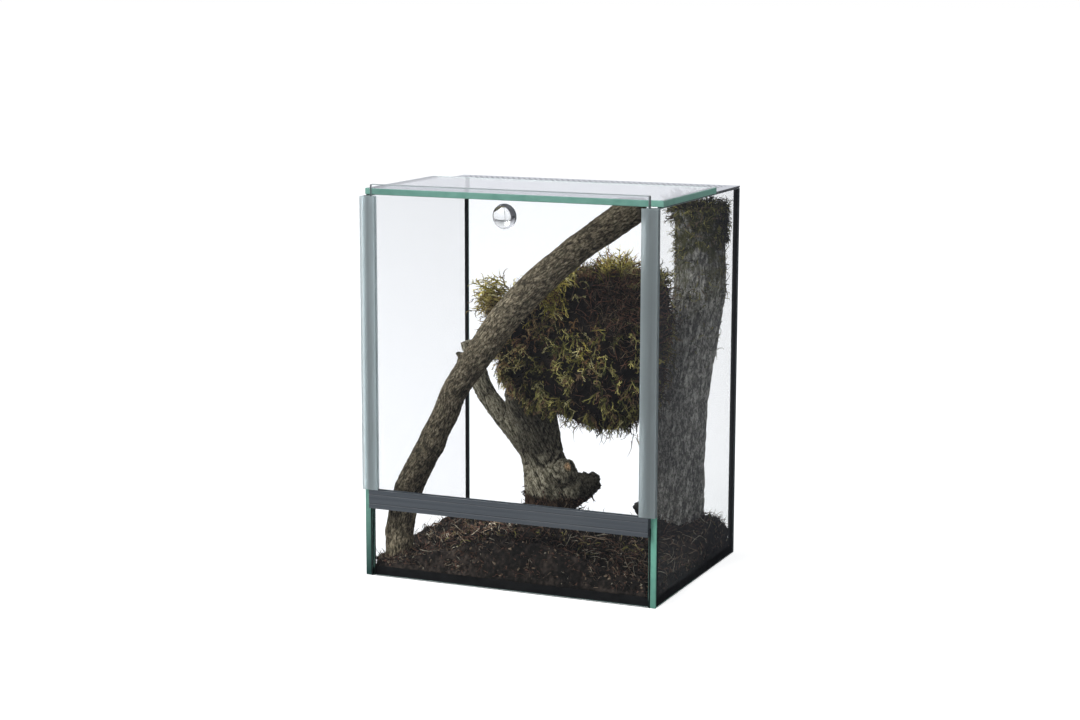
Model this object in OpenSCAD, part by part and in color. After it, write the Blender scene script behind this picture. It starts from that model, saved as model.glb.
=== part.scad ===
// Small guillotine-door glass terrarium, planted.
// Millimetres, +Z up, front towards -Y.
// Origin: centre of the underside of the tank.

/* [Tank] */
// Outer width of the tank
tank_w = 200; // [160:1:300]
// Outer depth of the tank, side panes' front edge to back pane's rear face
tank_d = 150; // [120:1:240]
// Height of the side and back panes
wall_h = 246; // [190:1:360]
// Thickness of every glass pane
glass_t = 4; // [3:0.5:6]
// Ground-off edge on each pane
arris = 0.35; // [0.1:0.05:0.6]
// Thickness of silicone in a joint between two panes
joint_t = 0.8; // [0.5:0.1:1.5]
// Leg of the silicone fillet in each inside corner
fillet = 2; // [1:0.1:3]

/* [Top] */
// Distance from the side panes' front edge to the top pane's front edge
lid_setback = 4.8; // [3:0.1:7]
// Front-to-back size of the top pane
lid_d = 97; // [80:0.5:130]
// Distance that the top pane stands out past each side pane
lid_overhang = 0.4; // [0:0.1:3]
// Thickness of the silicone bed under the top pane and the vent plate
bed_t = 0.4; // [0.3:0.1:1]
// Thickness of the perforated vent plate
vent_t = 1; // [0.6:0.1:2]
// Diameter of one air hole
vent_hole_d = 2; // [1:0.1:3]
// Distance between neighbouring air holes, set out in triangles
vent_pitch = 4; // [3.3:0.1:6]
// Unpierced border of the vent plate
vent_border = 6; // [4.5:0.5:10]

/* [Front] */
// Height of the fixed front strip
strip_h = 50; // [40:1:80]
// Wall of the sill profile and of the rails' lip and web
profile_t = 1.2; // [0.8:0.1:2]
// Rear flange of the rails and the sill's wall between door and strip
flange_t = 1; // [0.8:0.1:1.6]
// Height of the sill profile's front wall
sill_h = 12; // [9:0.5:18]
// Part of the sill's front wall that hangs below the strip's top edge
sill_drop = 4.7; // [3:0.1:6]
// Width of each of the two grooves along the sill's front wall
sill_groove = 0.8; // [0.4:0.1:1.5]
// Clearance between the sill and the strip that it grips
sill_grip = 0.15; // [0.1:0.05:0.3]
// How far the rails and the sill stand in front of the side panes
guide_out = 3.6; // [3:0.1:6]
// Width of the front lip of each rail
rail_lip = 10.8; // [8:0.1:14]
// Width of the rear flange of each rail
rail_flange = 9.5; // [7:0.1:13]
// Gap between the sill's top and the rails' lower ends
rail_gap = 0.2; // [0.1:0.1:1]

/* [Door] */
// Running clearance of the door pane on each face
door_clear = 0.3; // [0.2:0.05:0.6]
// How far each door edge stays back from the side panes' inner faces
door_inset = 2.5; // [2:0.1:4]
// Distance that the door stands up past the side panes
door_rise = 7.5; // [6:0.1:12]
// Gap between the closed door's lower edge and the groove's floor
door_seat = 0.1; // [0.1:0.05:0.3]
// Diameter of the clear knob
knob_d = 15.6; // [12:0.1:20]
// How far the knob stands out from its pad
knob_h = 6; // [4:0.1:9]
// Thickness of the knob's clear adhesive pad
pad_t = 0.4; // [0.3:0.1:1]
// Distance from the door's top edge down to the knob's centre
knob_drop = 16; // [12:0.5:40]

/* [Planting] */
// Depth of soil along the walls
soil_edge = 9; // [8:0.5:14]
// Height of the soil's middle ridge above its edge
soil_ridge = 22; // [10:0.5:24]
// Radius of the leaning branch
branch_r = 9.2; // [6:0.1:10]
// Radius of the stump's stem at its foot
stump_r = 17; // [12:0.5:18]
// Radius of the upright trunk
trunk_r = 17.4; // [13:0.1:18]
// Clearance round wood that stands in the soil or in the moss
socket_clear = 0.5; // [0.3:0.1:1.5]

/* [Hidden] */
// Inside faces of the glass box
in_x = tank_w / 2 - glass_t;
in_y = tank_d / 2 - glass_t;
front_y = -tank_d / 2;
back_y = tank_d / 2;
floor_top = glass_t;
pane_x = in_x - joint_t;

// Top pane and vent plate
lid_z = wall_h + bed_t;
lid_y0 = front_y + lid_setback;
lid_y1 = lid_y0 + lid_d;
vent_gap = 0.5;
vent_y0 = lid_y1 + vent_gap;

// Door and its guides, front to back
guide_y0 = front_y - guide_out;
slot_y0 = guide_y0 + profile_t;
slot_y1 = slot_y0 + glass_t + 2 * door_clear;
door_y0 = slot_y0 + door_clear;
sill_z0 = strip_h - sill_drop;
sill_z1 = sill_z0 + sill_h;
seat_z = strip_h + flange_t;
rail_z0 = sill_z1 + rail_gap;
door_x = in_x - door_inset;
door_z0 = seat_z + door_seat;
door_z1 = wall_h + door_rise;
sill_end_gap = 0.5;
sill_x = in_x - sill_end_gap;
grip_x = in_x - fillet - sill_end_gap;
knob_z = door_z1 - knob_drop;

// Planting
soil_gap = 0.3;
limb_sides = 16;
limb_steps = 3;
cut_margin = 0.5;

// Leaning branch: foot in the front left corner, head wedged under the top pane
branch_m = branch_r + fillet + 1.2;
branch_y = along(0, branch_m - 0.6);
branch_foot_x = across(0, branch_m);
branch_foot = floor_top;
branch_head = lid_z - 0.4;

// Forked stump in the middle
stump_x = across(0.484, stump_r);
stump_y = along(0.5, stump_r);
stump_foot = floor_top + 14;
stem_top_x = stump_x - 14;
stem_top = upward(0.46);
stem_top_r = 0.98 * stump_r;

// Upright trunk in the back right corner, with its foot set back towards the middle
trunk_m = trunk_r + 0.8;
trunk_x = across(1, trunk_m);
trunk_y = along(1, trunk_m);
trunk_set = [-12, -4];
trunk_foot = floor_top + 5;
trunk_head = upward(0.947);

// Moss between the branch and the trunk
moss_y0 = branch_y + 1.1 * branch_r + 1;
moss_y1 = trunk_y - trunk_r - 6;
moss_x = across(0.62, 0);
moss_z = upward(0.605);
moss_half_w = 0.57 * in_x;
moss_half_h = 0.205 * (lid_z - floor_top);
moss_tilt = 5;
cap_gap = 0.3;
cap_h = 6;

// Sockets for wood, wider than the widest ring that stands in them
branch_socket_r = 1.1 * branch_r + socket_clear;
stump_socket_r = 1.04 * stump_r + socket_clear;
trunk_socket_r = 1.09 * trunk_r + socket_clear;
$fn = 48;

// ---------- glass ----------

module chamfered_rect(a, b) {
    polygon([
        [arris, 0], [a - arris, 0], [a, arris], [a, b - arris],
        [a - arris, b], [arris, b], [0, b - arris], [0, arris]
    ]);
}

// A pane from corner p, with every edge arrised
module pane(p, size) {
    color([0.72, 0.9, 0.85, 0.35])
        translate(p)
            intersection() {
                linear_extrude(size.z) chamfered_rect(size.x, size.y);
                translate([0, size.y, 0]) rotate([90, 0, 0])
                    linear_extrude(size.y) chamfered_rect(size.x, size.z);
                rotate([90, 0, 90])
                    linear_extrude(size.x) chamfered_rect(size.y, size.z);
            }
}

module floor_pane() {
    pane([-pane_x, -in_y + joint_t, 0], [2 * pane_x, 2 * (in_y - joint_t), glass_t]);
}

module left_pane() {
    pane([-tank_w / 2, front_y, 0], [glass_t, tank_d, wall_h]);
}

module right_pane() {
    pane([in_x, front_y, 0], [glass_t, tank_d, wall_h]);
}

module back_pane() {
    pane([-pane_x, in_y, 0], [2 * pane_x, glass_t, wall_h]);
}

module front_strip() {
    pane([-pane_x, front_y, 0], [2 * pane_x, glass_t, strip_h]);
}

module top_pane() {
    w = tank_w + 2 * lid_overhang;
    pane([-w / 2, lid_y0, lid_z], [w, lid_d, glass_t]);
}

// ---------- vent plate ----------

module vent_plate() {
    plate_d = back_y - vent_y0;
    row_step = vent_pitch * sin(60);
    rows = floor((plate_d - 2 * vent_border) / row_step);
    columns = floor((tank_w - 2 * vent_border) / vent_pitch) - 1;
    color([0.75, 0.76, 0.78])
        translate([0, vent_y0, lid_z])
            linear_extrude(vent_t)
                difference() {
                    translate([-tank_w / 2, 0]) square([tank_w, plate_d]);
                    for (row = [0 : rows])
                        for (column = [0 : columns - row % 2])
                            translate([
                                (column - columns / 2 + 0.5 * (row % 2)) * vent_pitch,
                                plate_d / 2 + (row - rows / 2) * row_step
                            ])
                                circle(d = vent_hole_d, $fn = 24);
                }
}

// ---------- silicone ----------

// Section of a seam: the joint between two panes, with a hollow fillet inside.
// The corner of the two inside faces is at the origin, the fillet in -X -Y,
// the joint in +Y, against the face x = 0.
module seam_section(depth) {
    translate([-joint_t, 0]) square([joint_t, depth]);
    difference() {
        translate([-fillet, -fillet]) square(fillet);
        translate([-fillet, -fillet]) circle(r = fillet);
    }
}

module seam_colour() {
    color([0.09, 0.09, 0.1]) children();
}

// Upright seam at the inside corner x, y; side is -1 left or 1 right, end is -1 front or 1 back
module corner_seam(side, end, height) {
    seam_colour() {
        difference() {
            at_corner(side, end) linear_extrude(height) seam_section(glass_t);
            at_corner(side, end)
                translate([-2 * fillet, -2 * fillet, -1]) cube([2 * fillet, 2 * fillet, floor_top + 1]);
        }
    }
}

module at_corner(side, end) {
    translate([side * in_x, end * in_y, 0])
        mirror([side < 0 ? 1 : 0, 0, 0])
            mirror([0, end < 0 ? 1 : 0, 0])
                children();
}

// Seam along one edge of the floor pane, drawn along +X for the wall on +Y
module floor_seam(length, joint_length) {
    seam_colour() {
        translate([-joint_length / 2, -joint_t, -floor_top])
            cube([joint_length, joint_t, floor_top]);
        translate([-length / 2, 0, 0])
            rotate([90, 0, 90])
                linear_extrude(length)
                    difference() {
                        translate([-fillet, 0]) square(fillet);
                        translate([-fillet, fillet]) circle(r = fillet);
                    }
    }
}

module seam_floor_back() {
    translate([0, in_y, floor_top]) floor_seam(2 * (in_x - fillet), 2 * pane_x);
}

module seam_floor_front() {
    mirror([0, 1, 0]) seam_floor_back();
}

module seam_floor_right() {
    translate([in_x, 0, floor_top]) rotate(-90) floor_seam(2 * (in_y - fillet), 2 * in_y);
}

module seam_floor_left() {
    mirror([1, 0, 0]) seam_floor_right();
}

module seam_back_left() {
    corner_seam(-1, 1, wall_h);
}

module seam_back_right() {
    corner_seam(1, 1, wall_h);
}

module seam_front_left() {
    corner_seam(-1, -1, strip_h);
}

module seam_front_right() {
    corner_seam(1, -1, strip_h);
}

module bed_top_right() {
    seam_colour()
        translate([in_x + arris, lid_y0 + arris, wall_h])
            cube([glass_t - 2 * arris, lid_d - 2 * arris, bed_t]);
}

module bed_top_left() {
    mirror([1, 0, 0]) bed_top_right();
}

// Three strips of silicone that carry the vent plate
module bed_vent() {
    seam_colour() {
        for (side = [0, 1])
            mirror([side, 0, 0])
                translate([in_x + arris, vent_y0, wall_h])
                    cube([glass_t - 2 * arris, back_y - vent_y0 - arris, bed_t]);
        translate([-pane_x + arris, in_y + arris, wall_h])
            cube([2 * (pane_x - arris), glass_t - 2 * arris, bed_t]);
    }
}

// ---------- door guides ----------

// Section of a rail: its front lip covers the side pane's edge, and a channel open to +X lies inside the pane
module rail_section() {
    depth = slot_y1 + flange_t - guide_y0;
    web_x = glass_t;
    lip_r = profile_t / 2;
    flange_r = flange_t / 2;
    square([profile_t, guide_out]);
    square([rail_lip - lip_r, profile_t]);
    translate([rail_lip - lip_r, lip_r]) circle(r = lip_r, $fn = 24);
    translate([web_x, 0]) square([profile_t, depth]);
    translate([web_x, depth - flange_t]) square([rail_flange - web_x - flange_r, flange_t]);
    translate([rail_flange - flange_r, depth - flange_r]) circle(r = flange_r, $fn = 24);
}

module left_rail() {
    color([0.6, 0.66, 0.65, 0.85])
        translate([-tank_w / 2, guide_y0, rail_z0])
            linear_extrude(wall_h - rail_z0)
                rail_section();
}

module right_rail() {
    mirror([1, 0, 0]) left_rail();
}

// Section of the sill in the Y-Z plane: groove for the door above, grip for the strip below and further back
module sill_section() {
    grip_y0 = front_y - flange_t;
    grip_y1 = front_y + glass_t + sill_grip;
    difference() {
        union() {
            translate([guide_y0, sill_z0]) square([profile_t, sill_h]);
            translate([guide_y0, strip_h]) square([grip_y1 + flange_t - guide_y0, flange_t]);
            translate([grip_y0, sill_z0]) square([flange_t - sill_grip, sill_drop + flange_t]);
            translate([slot_y1, strip_h]) square([flange_t, sill_z1 - strip_h]);
        }
        for (share = [1 / 4, 3 / 4])
            translate([guide_y0, sill_z0 + sill_h * share])
                circle(d = sill_groove, $fn = 24);
    }
}

// Wall of the grip behind the strip, which ends short of the silicone in the corners
module sill_grip_wall() {
    translate([-grip_x, front_y + glass_t + sill_grip, sill_z0])
        cube([2 * grip_x, flange_t, sill_drop + flange_t]);
}

module sill_profile() {
    color([0.3, 0.33, 0.36]) {
        translate([-sill_x, 0, 0])
            rotate([90, 0, 90])
                linear_extrude(2 * sill_x)
                    sill_section();
        sill_grip_wall();
    }
}

// ---------- door ----------

module door_pane() {
    pane([-door_x, door_y0, door_z0], [2 * door_x, glass_t, door_z1 - door_z0]);
}

module knob_pad() {
    rim = 0.4;
    color([0.9, 0.93, 0.95, 0.4])
        translate([0, door_y0, knob_z])
            rotate([90, 0, 0])
                cylinder(d = knob_d - 2 * rim, h = pad_t);
}

// Domed knob: a short straight rim under a spherical cap
module door_knob() {
    rim_h = 1.4;
    cap_h = knob_h - rim_h;
    dome_r = (pow(knob_d / 2, 2) + pow(cap_h, 2)) / (2 * cap_h);
    color([0.9, 0.93, 0.95, 0.4])
        translate([0, door_y0 - pad_t, knob_z])
            rotate([90, 0, 0])
                intersection() {
                    cylinder(d = knob_d, h = knob_h);
                    translate([0, 0, knob_h - dome_r]) sphere(r = dome_r, $fn = 96);
                }
}

// ---------- planting ----------

// Place inside the box that keeps margin m from both walls at every tank size
function across(f, m) = -in_x + m + f * 2 * (in_x - m);
function along(f, m) = -in_y + m + f * 2 * (in_y - m);
function upward(f) = floor_top + f * (lid_z - floor_top);

function hill(x, y, fx, fy, rx, ry) =
    exp(-pow((x / in_x - fx) / rx, 2) - pow((y / in_y - fy) / ry, 2));

// Height of the soil above the floor pane's underside
function soil_height(x, y) =
    floor_top + soil_edge - 5
    + soil_ridge * hill(x, y, 0.1, -0.9, 0.75, 0.8)
    + 0.8 * soil_ridge * hill(x, y, 0, 0.1, 0.5, 0.7)
    + 0.85 * soil_ridge * hill(x, y, 0.7, 0.65, 0.28, 0.4)
    + 6 * hill(x, y, -0.6, 0.7, 0.7, 0.9)
    + 1.2 * sin(7 * x + 40) * cos(9 * y);

// Curve through points [x, y, z, r], with steps points to each span
function spline_point(p, i, t) =
    let (
        a = p[max(i - 1, 0)],
        b = p[i],
        c = p[i + 1],
        d = p[min(i + 2, len(p) - 1)]
    )
    b + 0.5 * t * (c - a + t * (2 * a - 5 * b + 4 * c - d + t * (3 * (b - c) + d - a)));

function spline(p, steps) = [
    for (i = [0 : len(p) - 2], k = [0 : steps - 1]) spline_point(p, i, k / steps),
    p[len(p) - 1]
];

function unit(v) = v / norm(v);
function place(q) = [q.x, q.y, q.z];

// Direction of the curve at ring i
function heading(c, i) = unit(place(c[min(i + 1, len(c) - 1)]) - place(c[max(i - 1, 0)]));

// Slides p along direction t to the level plane z, or leaves it when z is undef; reach limits how far forward
function to_level(p, t, z, reach = tank_d) = is_undef(z) ? p : p + t * min(reach, (z - p.z) / t.z);

// Ring i of a limb, with the shallow lumps of bark
function limb_ring(c, i, z = undef, reach = tank_d) =
    let (t = heading(c, i), u = unit(cross([0, 1, 0], t)), v = cross(t, u))
    [
        for (j = [0 : limb_sides - 1])
            let (
                a = 360 * j / limb_sides,
                r = c[i][3] * (1 - 0.03 * (1 + sin(3 * a + 50 * i)))
            )
            to_level(place(c[i]) + r * (cos(a) * u + sin(a) * v), t, z, reach)
    ];

// Whether a ring lies clear of the level cuts at foot and head
function clear_of_cuts(ring, foot, head) =
    (is_undef(foot) || min([for (q = ring) q.z]) > foot + cut_margin)
    && (is_undef(head) || max([for (q = ring) q.z]) < head - cut_margin);

// Closed limb through the points, cut level at its foot and head where those are given.
// With head_reach 0 the head is cut level only above the limb's last point.
module limb(points, foot = undef, head = undef, head_reach = tank_d) {
    c = spline(points, limb_steps);
    last = len(c) - 1;
    s = limb_sides;
    between = [for (i = [1 : last - 1]) limb_ring(c, i)];
    rings = concat(
        [limb_ring(c, 0, foot)],
        [for (ring = between) if (clear_of_cuts(ring, foot, head)) ring],
        [limb_ring(c, last, head, head_reach)]
    );
    n = len(rings);
    head_centre = to_level(place(c[last]), heading(c, last), head, head_reach);
    sides = [
        for (i = [0 : n - 2], j = [0 : s - 1], half = [0, 1])
            let (a = i * s + j, b = i * s + (j + 1) % s)
            half == 0 ? [a, a + s, b] : [b, a + s, b + s]
    ];
    foot_face = [for (j = [0 : s - 1]) j];
    head_faces = [for (j = [0 : s - 1]) [(n - 1) * s + (j + 1) % s, (n - 1) * s + j, n * s]];
    polyhedron(
        points = concat([for (ring = rings) each ring], [head_centre]),
        faces = concat(sides, [foot_face], head_faces),
        convexity = 6
    );
}

module bark() {
    color([0.33, 0.29, 0.24]) children();
}

// Leaning branch: how far across, how high and how thick at each point. It ends at the branch_head level.
module leaning_branch() {
    shape = [
        [0, -0.03, 1.02], [0.003, 0.075, 1.02], [0.016, 0.14, 1.02], [0.05, 0.222, 1.02],
        [0.118, 0.312, 1], [0.203, 0.425, 0.94], [0.25, 0.497, 0.95], [0.366, 0.609, 1.07],
        [0.47, 0.704, 1.09], [0.612, 0.803, 1.07], [0.755, 0.886, 0.99],
        [0.856, 0.936, 1.04], [0.932, 0.973, 1.06]
    ];
    tip = [across(0.9854, branch_m), branch_y, branch_head, 1.06 * branch_r];
    bark()
        limb(
            concat([for (q = shape) [across(q[0], branch_m), branch_y, upward(q[1]), branch_r * q[2]]], [tip]),
            foot = branch_foot,
            head = branch_head,
            head_reach = 0
        );
}

// Forked stump: stem, long left fork and broken stub on the right
module forked_stump() {
    function from_foot(dx, z, r) = [stump_x + dx, stump_y, upward(z), stump_r * r];
    bark()
        union() {
            limb(
                [from_foot(0, 0.05, 1.02), from_foot(0, 0.13, 0.95), from_foot(-1.5, 0.21, 0.9),
                 from_foot(-6, 0.3, 0.84), from_foot(-10, 0.37, 0.86), from_foot(-14, 0.43, 0.96),
                 from_foot(-14, 0.465, 0.96)],
                foot = stump_foot,
                head = stem_top
            );
            limb(
                [from_foot(-8, 0.27, 0.5), from_foot(-27, 0.36, 0.48), from_foot(-41, 0.42, 0.4),
                 from_foot(-49, 0.47, 0.38), from_foot(-59, 0.58, 0.28)]
            );
            limb(
                [from_foot(2, 0.14, 0.6), from_foot(17, 0.19, 0.58), from_foot(30, 0.22, 0.42),
                 from_foot(35, 0.225, 0.26)]
            );
        }
}

// Upright trunk: how far it is set over, how high and how thick at each point
module upright_trunk() {
    shape = [
        [1, 0.02, 1.08], [1, 0.2, 1.04], [0.8, 0.42, 1.01],
        [0.37, 0.58, 1], [0, 0.73, 1], [0, 0.86, 0.98], [0.08, 0.95, 0.97]
    ];
    bark()
        limb(
            [
                for (q = shape)
                    [trunk_x + q[0] * trunk_set.x, trunk_y + q[0] * trunk_set.y, upward(q[1]), trunk_r * q[2]]
            ],
            foot = trunk_foot,
            head = trunk_head
        );
}

// Lumpy closed ball with half sizes rx, ry, rz; fullness under 1 fills out its corners.
// Its height grows by the share widen towards +X and shrinks by as much towards -X.
module lumpy_ball(rx, ry, rz, depth, fullness, widen, slices = 28, stacks = 14) {
    function full(v) = sign(v) * pow(abs(v), fullness);
    function bump(a, b) = 1 - depth * (1 + sin(3 * a + 2 * b) * cos(2 * b - 30)) / 2;
    function at(a, b) =
        let (x = full(cos(a)) * full(sin(b)))
        bump(a, b) * [rx * x, ry * full(sin(a)) * full(sin(b)), rz * (1 + widen * x) * full(cos(b))];
    body = [
        for (i = [1 : stacks - 1], j = [0 : slices - 1])
            at(360 * j / slices, 180 * i / stacks)
    ];
    last = (stacks - 1) * slices;
    points = concat(body, [[0, 0, rz * (1 - depth)], [0, 0, -rz * (1 - depth)]]);
    sides = [
        for (i = [0 : stacks - 3], j = [0 : slices - 1], half = [0, 1])
            let (a = i * slices + j, b = i * slices + (j + 1) % slices)
            half == 0 ? [a, b, a + slices] : [b, b + slices, a + slices]
    ];
    top = [for (j = [0 : slices - 1]) [last, (j + 1) % slices, j]];
    bottom = [
        for (j = [0 : slices - 1])
            [last + 1, last - slices + j, last - slices + (j + 1) % slices]
    ];
    polyhedron(points = points, faces = concat(sides, top, bottom), convexity = 4);
}

// Moss-grown block that sits on the stump's stem, between the branch and the trunk
module moss_clump() {
    color([0.36, 0.34, 0.15])
        difference() {
            translate([moss_x, (moss_y0 + moss_y1) / 2, moss_z])
                rotate([0, moss_tilt, 0])
                    lumpy_ball(
                        moss_half_w, (moss_y1 - moss_y0) / 2, moss_half_h,
                        depth = 0.06, fullness = 0.62, widen = 0.26
                    );
            translate([stem_top_x, stump_y, 0])
                cylinder(r = stem_top_r + socket_clear, h = stem_top + 0.2);
        }
}

// Moss on the trunk's head
module moss_cap() {
    color([0.36, 0.34, 0.15])
        translate([trunk_x - 1, trunk_y, trunk_head + cap_gap])
            linear_extrude(cap_h)
                circle(r = trunk_r * 0.93);
}

// Soil: a banked surface, clear of the fillets round its foot, with a socket for each foot of wood
module substrate() {
    nx = 24;
    ny = 18;
    half_x = in_x - soil_gap;
    half_y = in_y - soil_gap;
    corner = fillet + soil_gap;
    function is_corner(i, j) = (i == 0 || i == nx) && (j == 0 || j == ny);
    function gx(i, j) = (2 * i / nx - 1) * (half_x - (is_corner(i, j) ? corner : 0));
    function gy(i, j) = (2 * j / ny - 1) * (half_y - (is_corner(i, j) ? corner : 0));
    rim = concat(
        [for (i = [0 : nx - 1]) [i, 0]],
        [for (j = [0 : ny - 1]) [nx, j]],
        [for (i = [nx : -1 : 1]) [i, ny]],
        [for (j = [ny : -1 : 1]) [0, j]]
    );
    m = len(rim);
    surface = [
        for (j = [0 : ny], i = [0 : nx])
            [gx(i, j), gy(i, j), max(soil_height(gx(i, j), gy(i, j)), floor_top + fillet + 2)]
    ];
    skirt_z = floor_top + fillet + soil_gap;
    skirt = [for (q = rim) [gx(q[0], q[1]), gy(q[0], q[1]), skirt_z]];
    foot_scale = [(half_x - fillet) / half_x, (half_y - fillet) / half_y];
    foot = [
        for (q = rim)
            [gx(q[0], q[1]) * foot_scale[0], gy(q[0], q[1]) * foot_scale[1], floor_top]
    ];
    function top_index(q) = q[1] * (nx + 1) + q[0];
    s0 = (nx + 1) * (ny + 1);
    f0 = s0 + m;
    top_faces = [
        for (j = [0 : ny - 1], i = [0 : nx - 1], half = [0, 1])
            let (a = j * (nx + 1) + i)
            half == 0 ? [a, a + nx + 1, a + 1] : [a + 1, a + nx + 1, a + nx + 2]
    ];
    side_faces = [
        for (k = [0 : m - 1], part = [0 : 3])
            let (
                n = (k + 1) % m,
                t0 = top_index(rim[k]),
                t1 = top_index(rim[n])
            )
            part == 0 ? [t0, t1, s0 + k]
            : part == 1 ? [t1, s0 + n, s0 + k]
            : part == 2 ? [s0 + k, s0 + n, f0 + k]
            : [s0 + n, f0 + n, f0 + k]
    ];
    base_face = [[for (k = [0 : m - 1]) f0 + k]];
    color([0.2, 0.16, 0.13])
        difference() {
            polyhedron(
                points = concat(surface, skirt, foot),
                faces = concat(top_faces, side_faces, base_face),
                convexity = 4
            );
            translate([branch_foot_x, branch_y, branch_foot - 1])
                cylinder(r = branch_socket_r, h = wall_h);
            translate([stump_x, stump_y, stump_foot])
                cylinder(r = stump_socket_r, h = wall_h);
            translate([trunk_x + trunk_set.x, trunk_y + trunk_set.y, trunk_foot])
                cylinder(r = trunk_socket_r, h = wall_h);
        }
}

floor_pane();
left_pane();
right_pane();
back_pane();
front_strip();
top_pane();
vent_plate();
seam_floor_front();
seam_floor_back();
seam_floor_left();
seam_floor_right();
seam_back_left();
seam_back_right();
seam_front_left();
seam_front_right();
bed_top_left();
bed_top_right();
bed_vent();
sill_profile();
left_rail();
right_rail();
door_pane();
knob_pad();
door_knob();
substrate();
leaning_branch();
forked_stump();
upright_trunk();
moss_clump();
moss_cap();
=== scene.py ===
import math

import bpy
import numpy as np
from mathutils import Matrix, Vector


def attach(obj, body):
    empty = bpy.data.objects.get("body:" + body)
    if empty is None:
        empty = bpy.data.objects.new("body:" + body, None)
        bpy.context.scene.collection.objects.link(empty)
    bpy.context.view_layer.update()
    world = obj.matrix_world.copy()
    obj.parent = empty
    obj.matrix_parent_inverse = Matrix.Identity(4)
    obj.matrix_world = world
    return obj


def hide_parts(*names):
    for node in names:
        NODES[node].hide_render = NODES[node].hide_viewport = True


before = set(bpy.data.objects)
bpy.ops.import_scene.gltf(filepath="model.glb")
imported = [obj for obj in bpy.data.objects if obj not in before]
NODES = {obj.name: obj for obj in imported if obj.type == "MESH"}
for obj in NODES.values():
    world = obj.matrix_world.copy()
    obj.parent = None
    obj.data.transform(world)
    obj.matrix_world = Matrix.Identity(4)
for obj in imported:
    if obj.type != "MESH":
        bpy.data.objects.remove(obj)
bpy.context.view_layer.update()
MM = 0.001

# ---------------------------------------------------------------- sizes, in mm, as in the CAD source
LID_Z = 246.4
IN_X, IN_Y = 96.0, 71.0
FLOOR_TOP = 4.0
FILLET = 2.0
SOIL_EDGE, SOIL_RIDGE = 9.0, 22.0
BRANCH_R, STUMP_R, TRUNK_R = 9.2, 17.0, 17.4
BRANCH_M = BRANCH_R + FILLET + 1.2
TRUNK_M = TRUNK_R + 0.8
TRUNK_SET = (-12.0, -4.0)


def across(f, m):
    return -IN_X + m + f * 2 * (IN_X - m)


def along(f, m):
    return -IN_Y + m + f * 2 * (IN_Y - m)


def upward(f):
    return FLOOR_TOP + f * (LID_Z - FLOOR_TOP)


BRANCH_Y = along(0, BRANCH_M - 0.6)
BRANCH_HEAD = LID_Z - 0.4
STUMP_X, STUMP_Y = across(0.484, STUMP_R), along(0.5, STUMP_R)
STEM_TOP = upward(0.46)
TRUNK_X, TRUNK_Y = across(1, TRUNK_M), along(1, TRUNK_M)
TRUNK_HEAD = upward(0.947)
MOSS_Y0, MOSS_Y1 = BRANCH_Y + 1.1 * BRANCH_R + 1, TRUNK_Y - TRUNK_R - 6


# ---------------------------------------------------------------- noise
def lattice(i, j, k, seed):
    """A repeatable random number from 0 to 1 at each whole-number point."""
    h = (i * 374761393 + j * 668265263 + k * 2147483647 + seed * 974634777) & 0xFFFFFFFF
    h = ((h ^ (h >> 13)) * 1274126177) & 0xFFFFFFFF
    return ((h ^ (h >> 16)) & 0xFFFF) / 65535.0


def noise(p, seed=0):
    """Smooth noise from -1 to 1 at the points p."""
    p = np.asarray(p, float)
    b = np.floor(p).astype(np.int64)
    t = p - b
    t = t * t * (3 - 2 * t)
    total = np.zeros(len(p))
    for dx in (0, 1):
        wx = t[:, 0] if dx else 1 - t[:, 0]
        for dy in (0, 1):
            wy = t[:, 1] if dy else 1 - t[:, 1]
            for dz in (0, 1):
                wz = t[:, 2] if dz else 1 - t[:, 2]
                total += wx * wy * wz * lattice(b[:, 0] + dx, b[:, 1] + dy, b[:, 2] + dz, seed)
    return 2 * total - 1


def fbm(p, octaves=4, seed=0, gain=0.5):
    """Noise summed over finer and finer octaves, about -1 to 1."""
    total, size, share = np.zeros(len(p)), 1.0, 0.0
    p = np.asarray(p, float)
    for o in range(octaves):
        total += size * noise(p * 2.03**o + 17.3 * o, seed + o)
        share += size
        size *= gain
    return total / share


POINT_KINDS = {1: ("FLOAT", "value"), 3: ("FLOAT_VECTOR", "vector"), 4: ("FLOAT_COLOR", "color")}


def bell(v, centre, wide, power=2):
    """1 at centre, and 0.37 at wide to either side of it."""
    return np.exp(-(((v - centre) / wide) ** power))


def mound(x, y, cx, cy, wide_x, wide_y):
    """A bell over a place in the plane."""
    return np.exp(-(((x - cx) / wide_x) ** 2) - ((y - cy) / wide_y) ** 2)


def any_way(count, rng):
    """A random heading for each of count strands, not yet of unit length."""
    return rng.normal(size=(count, 3))


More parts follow.
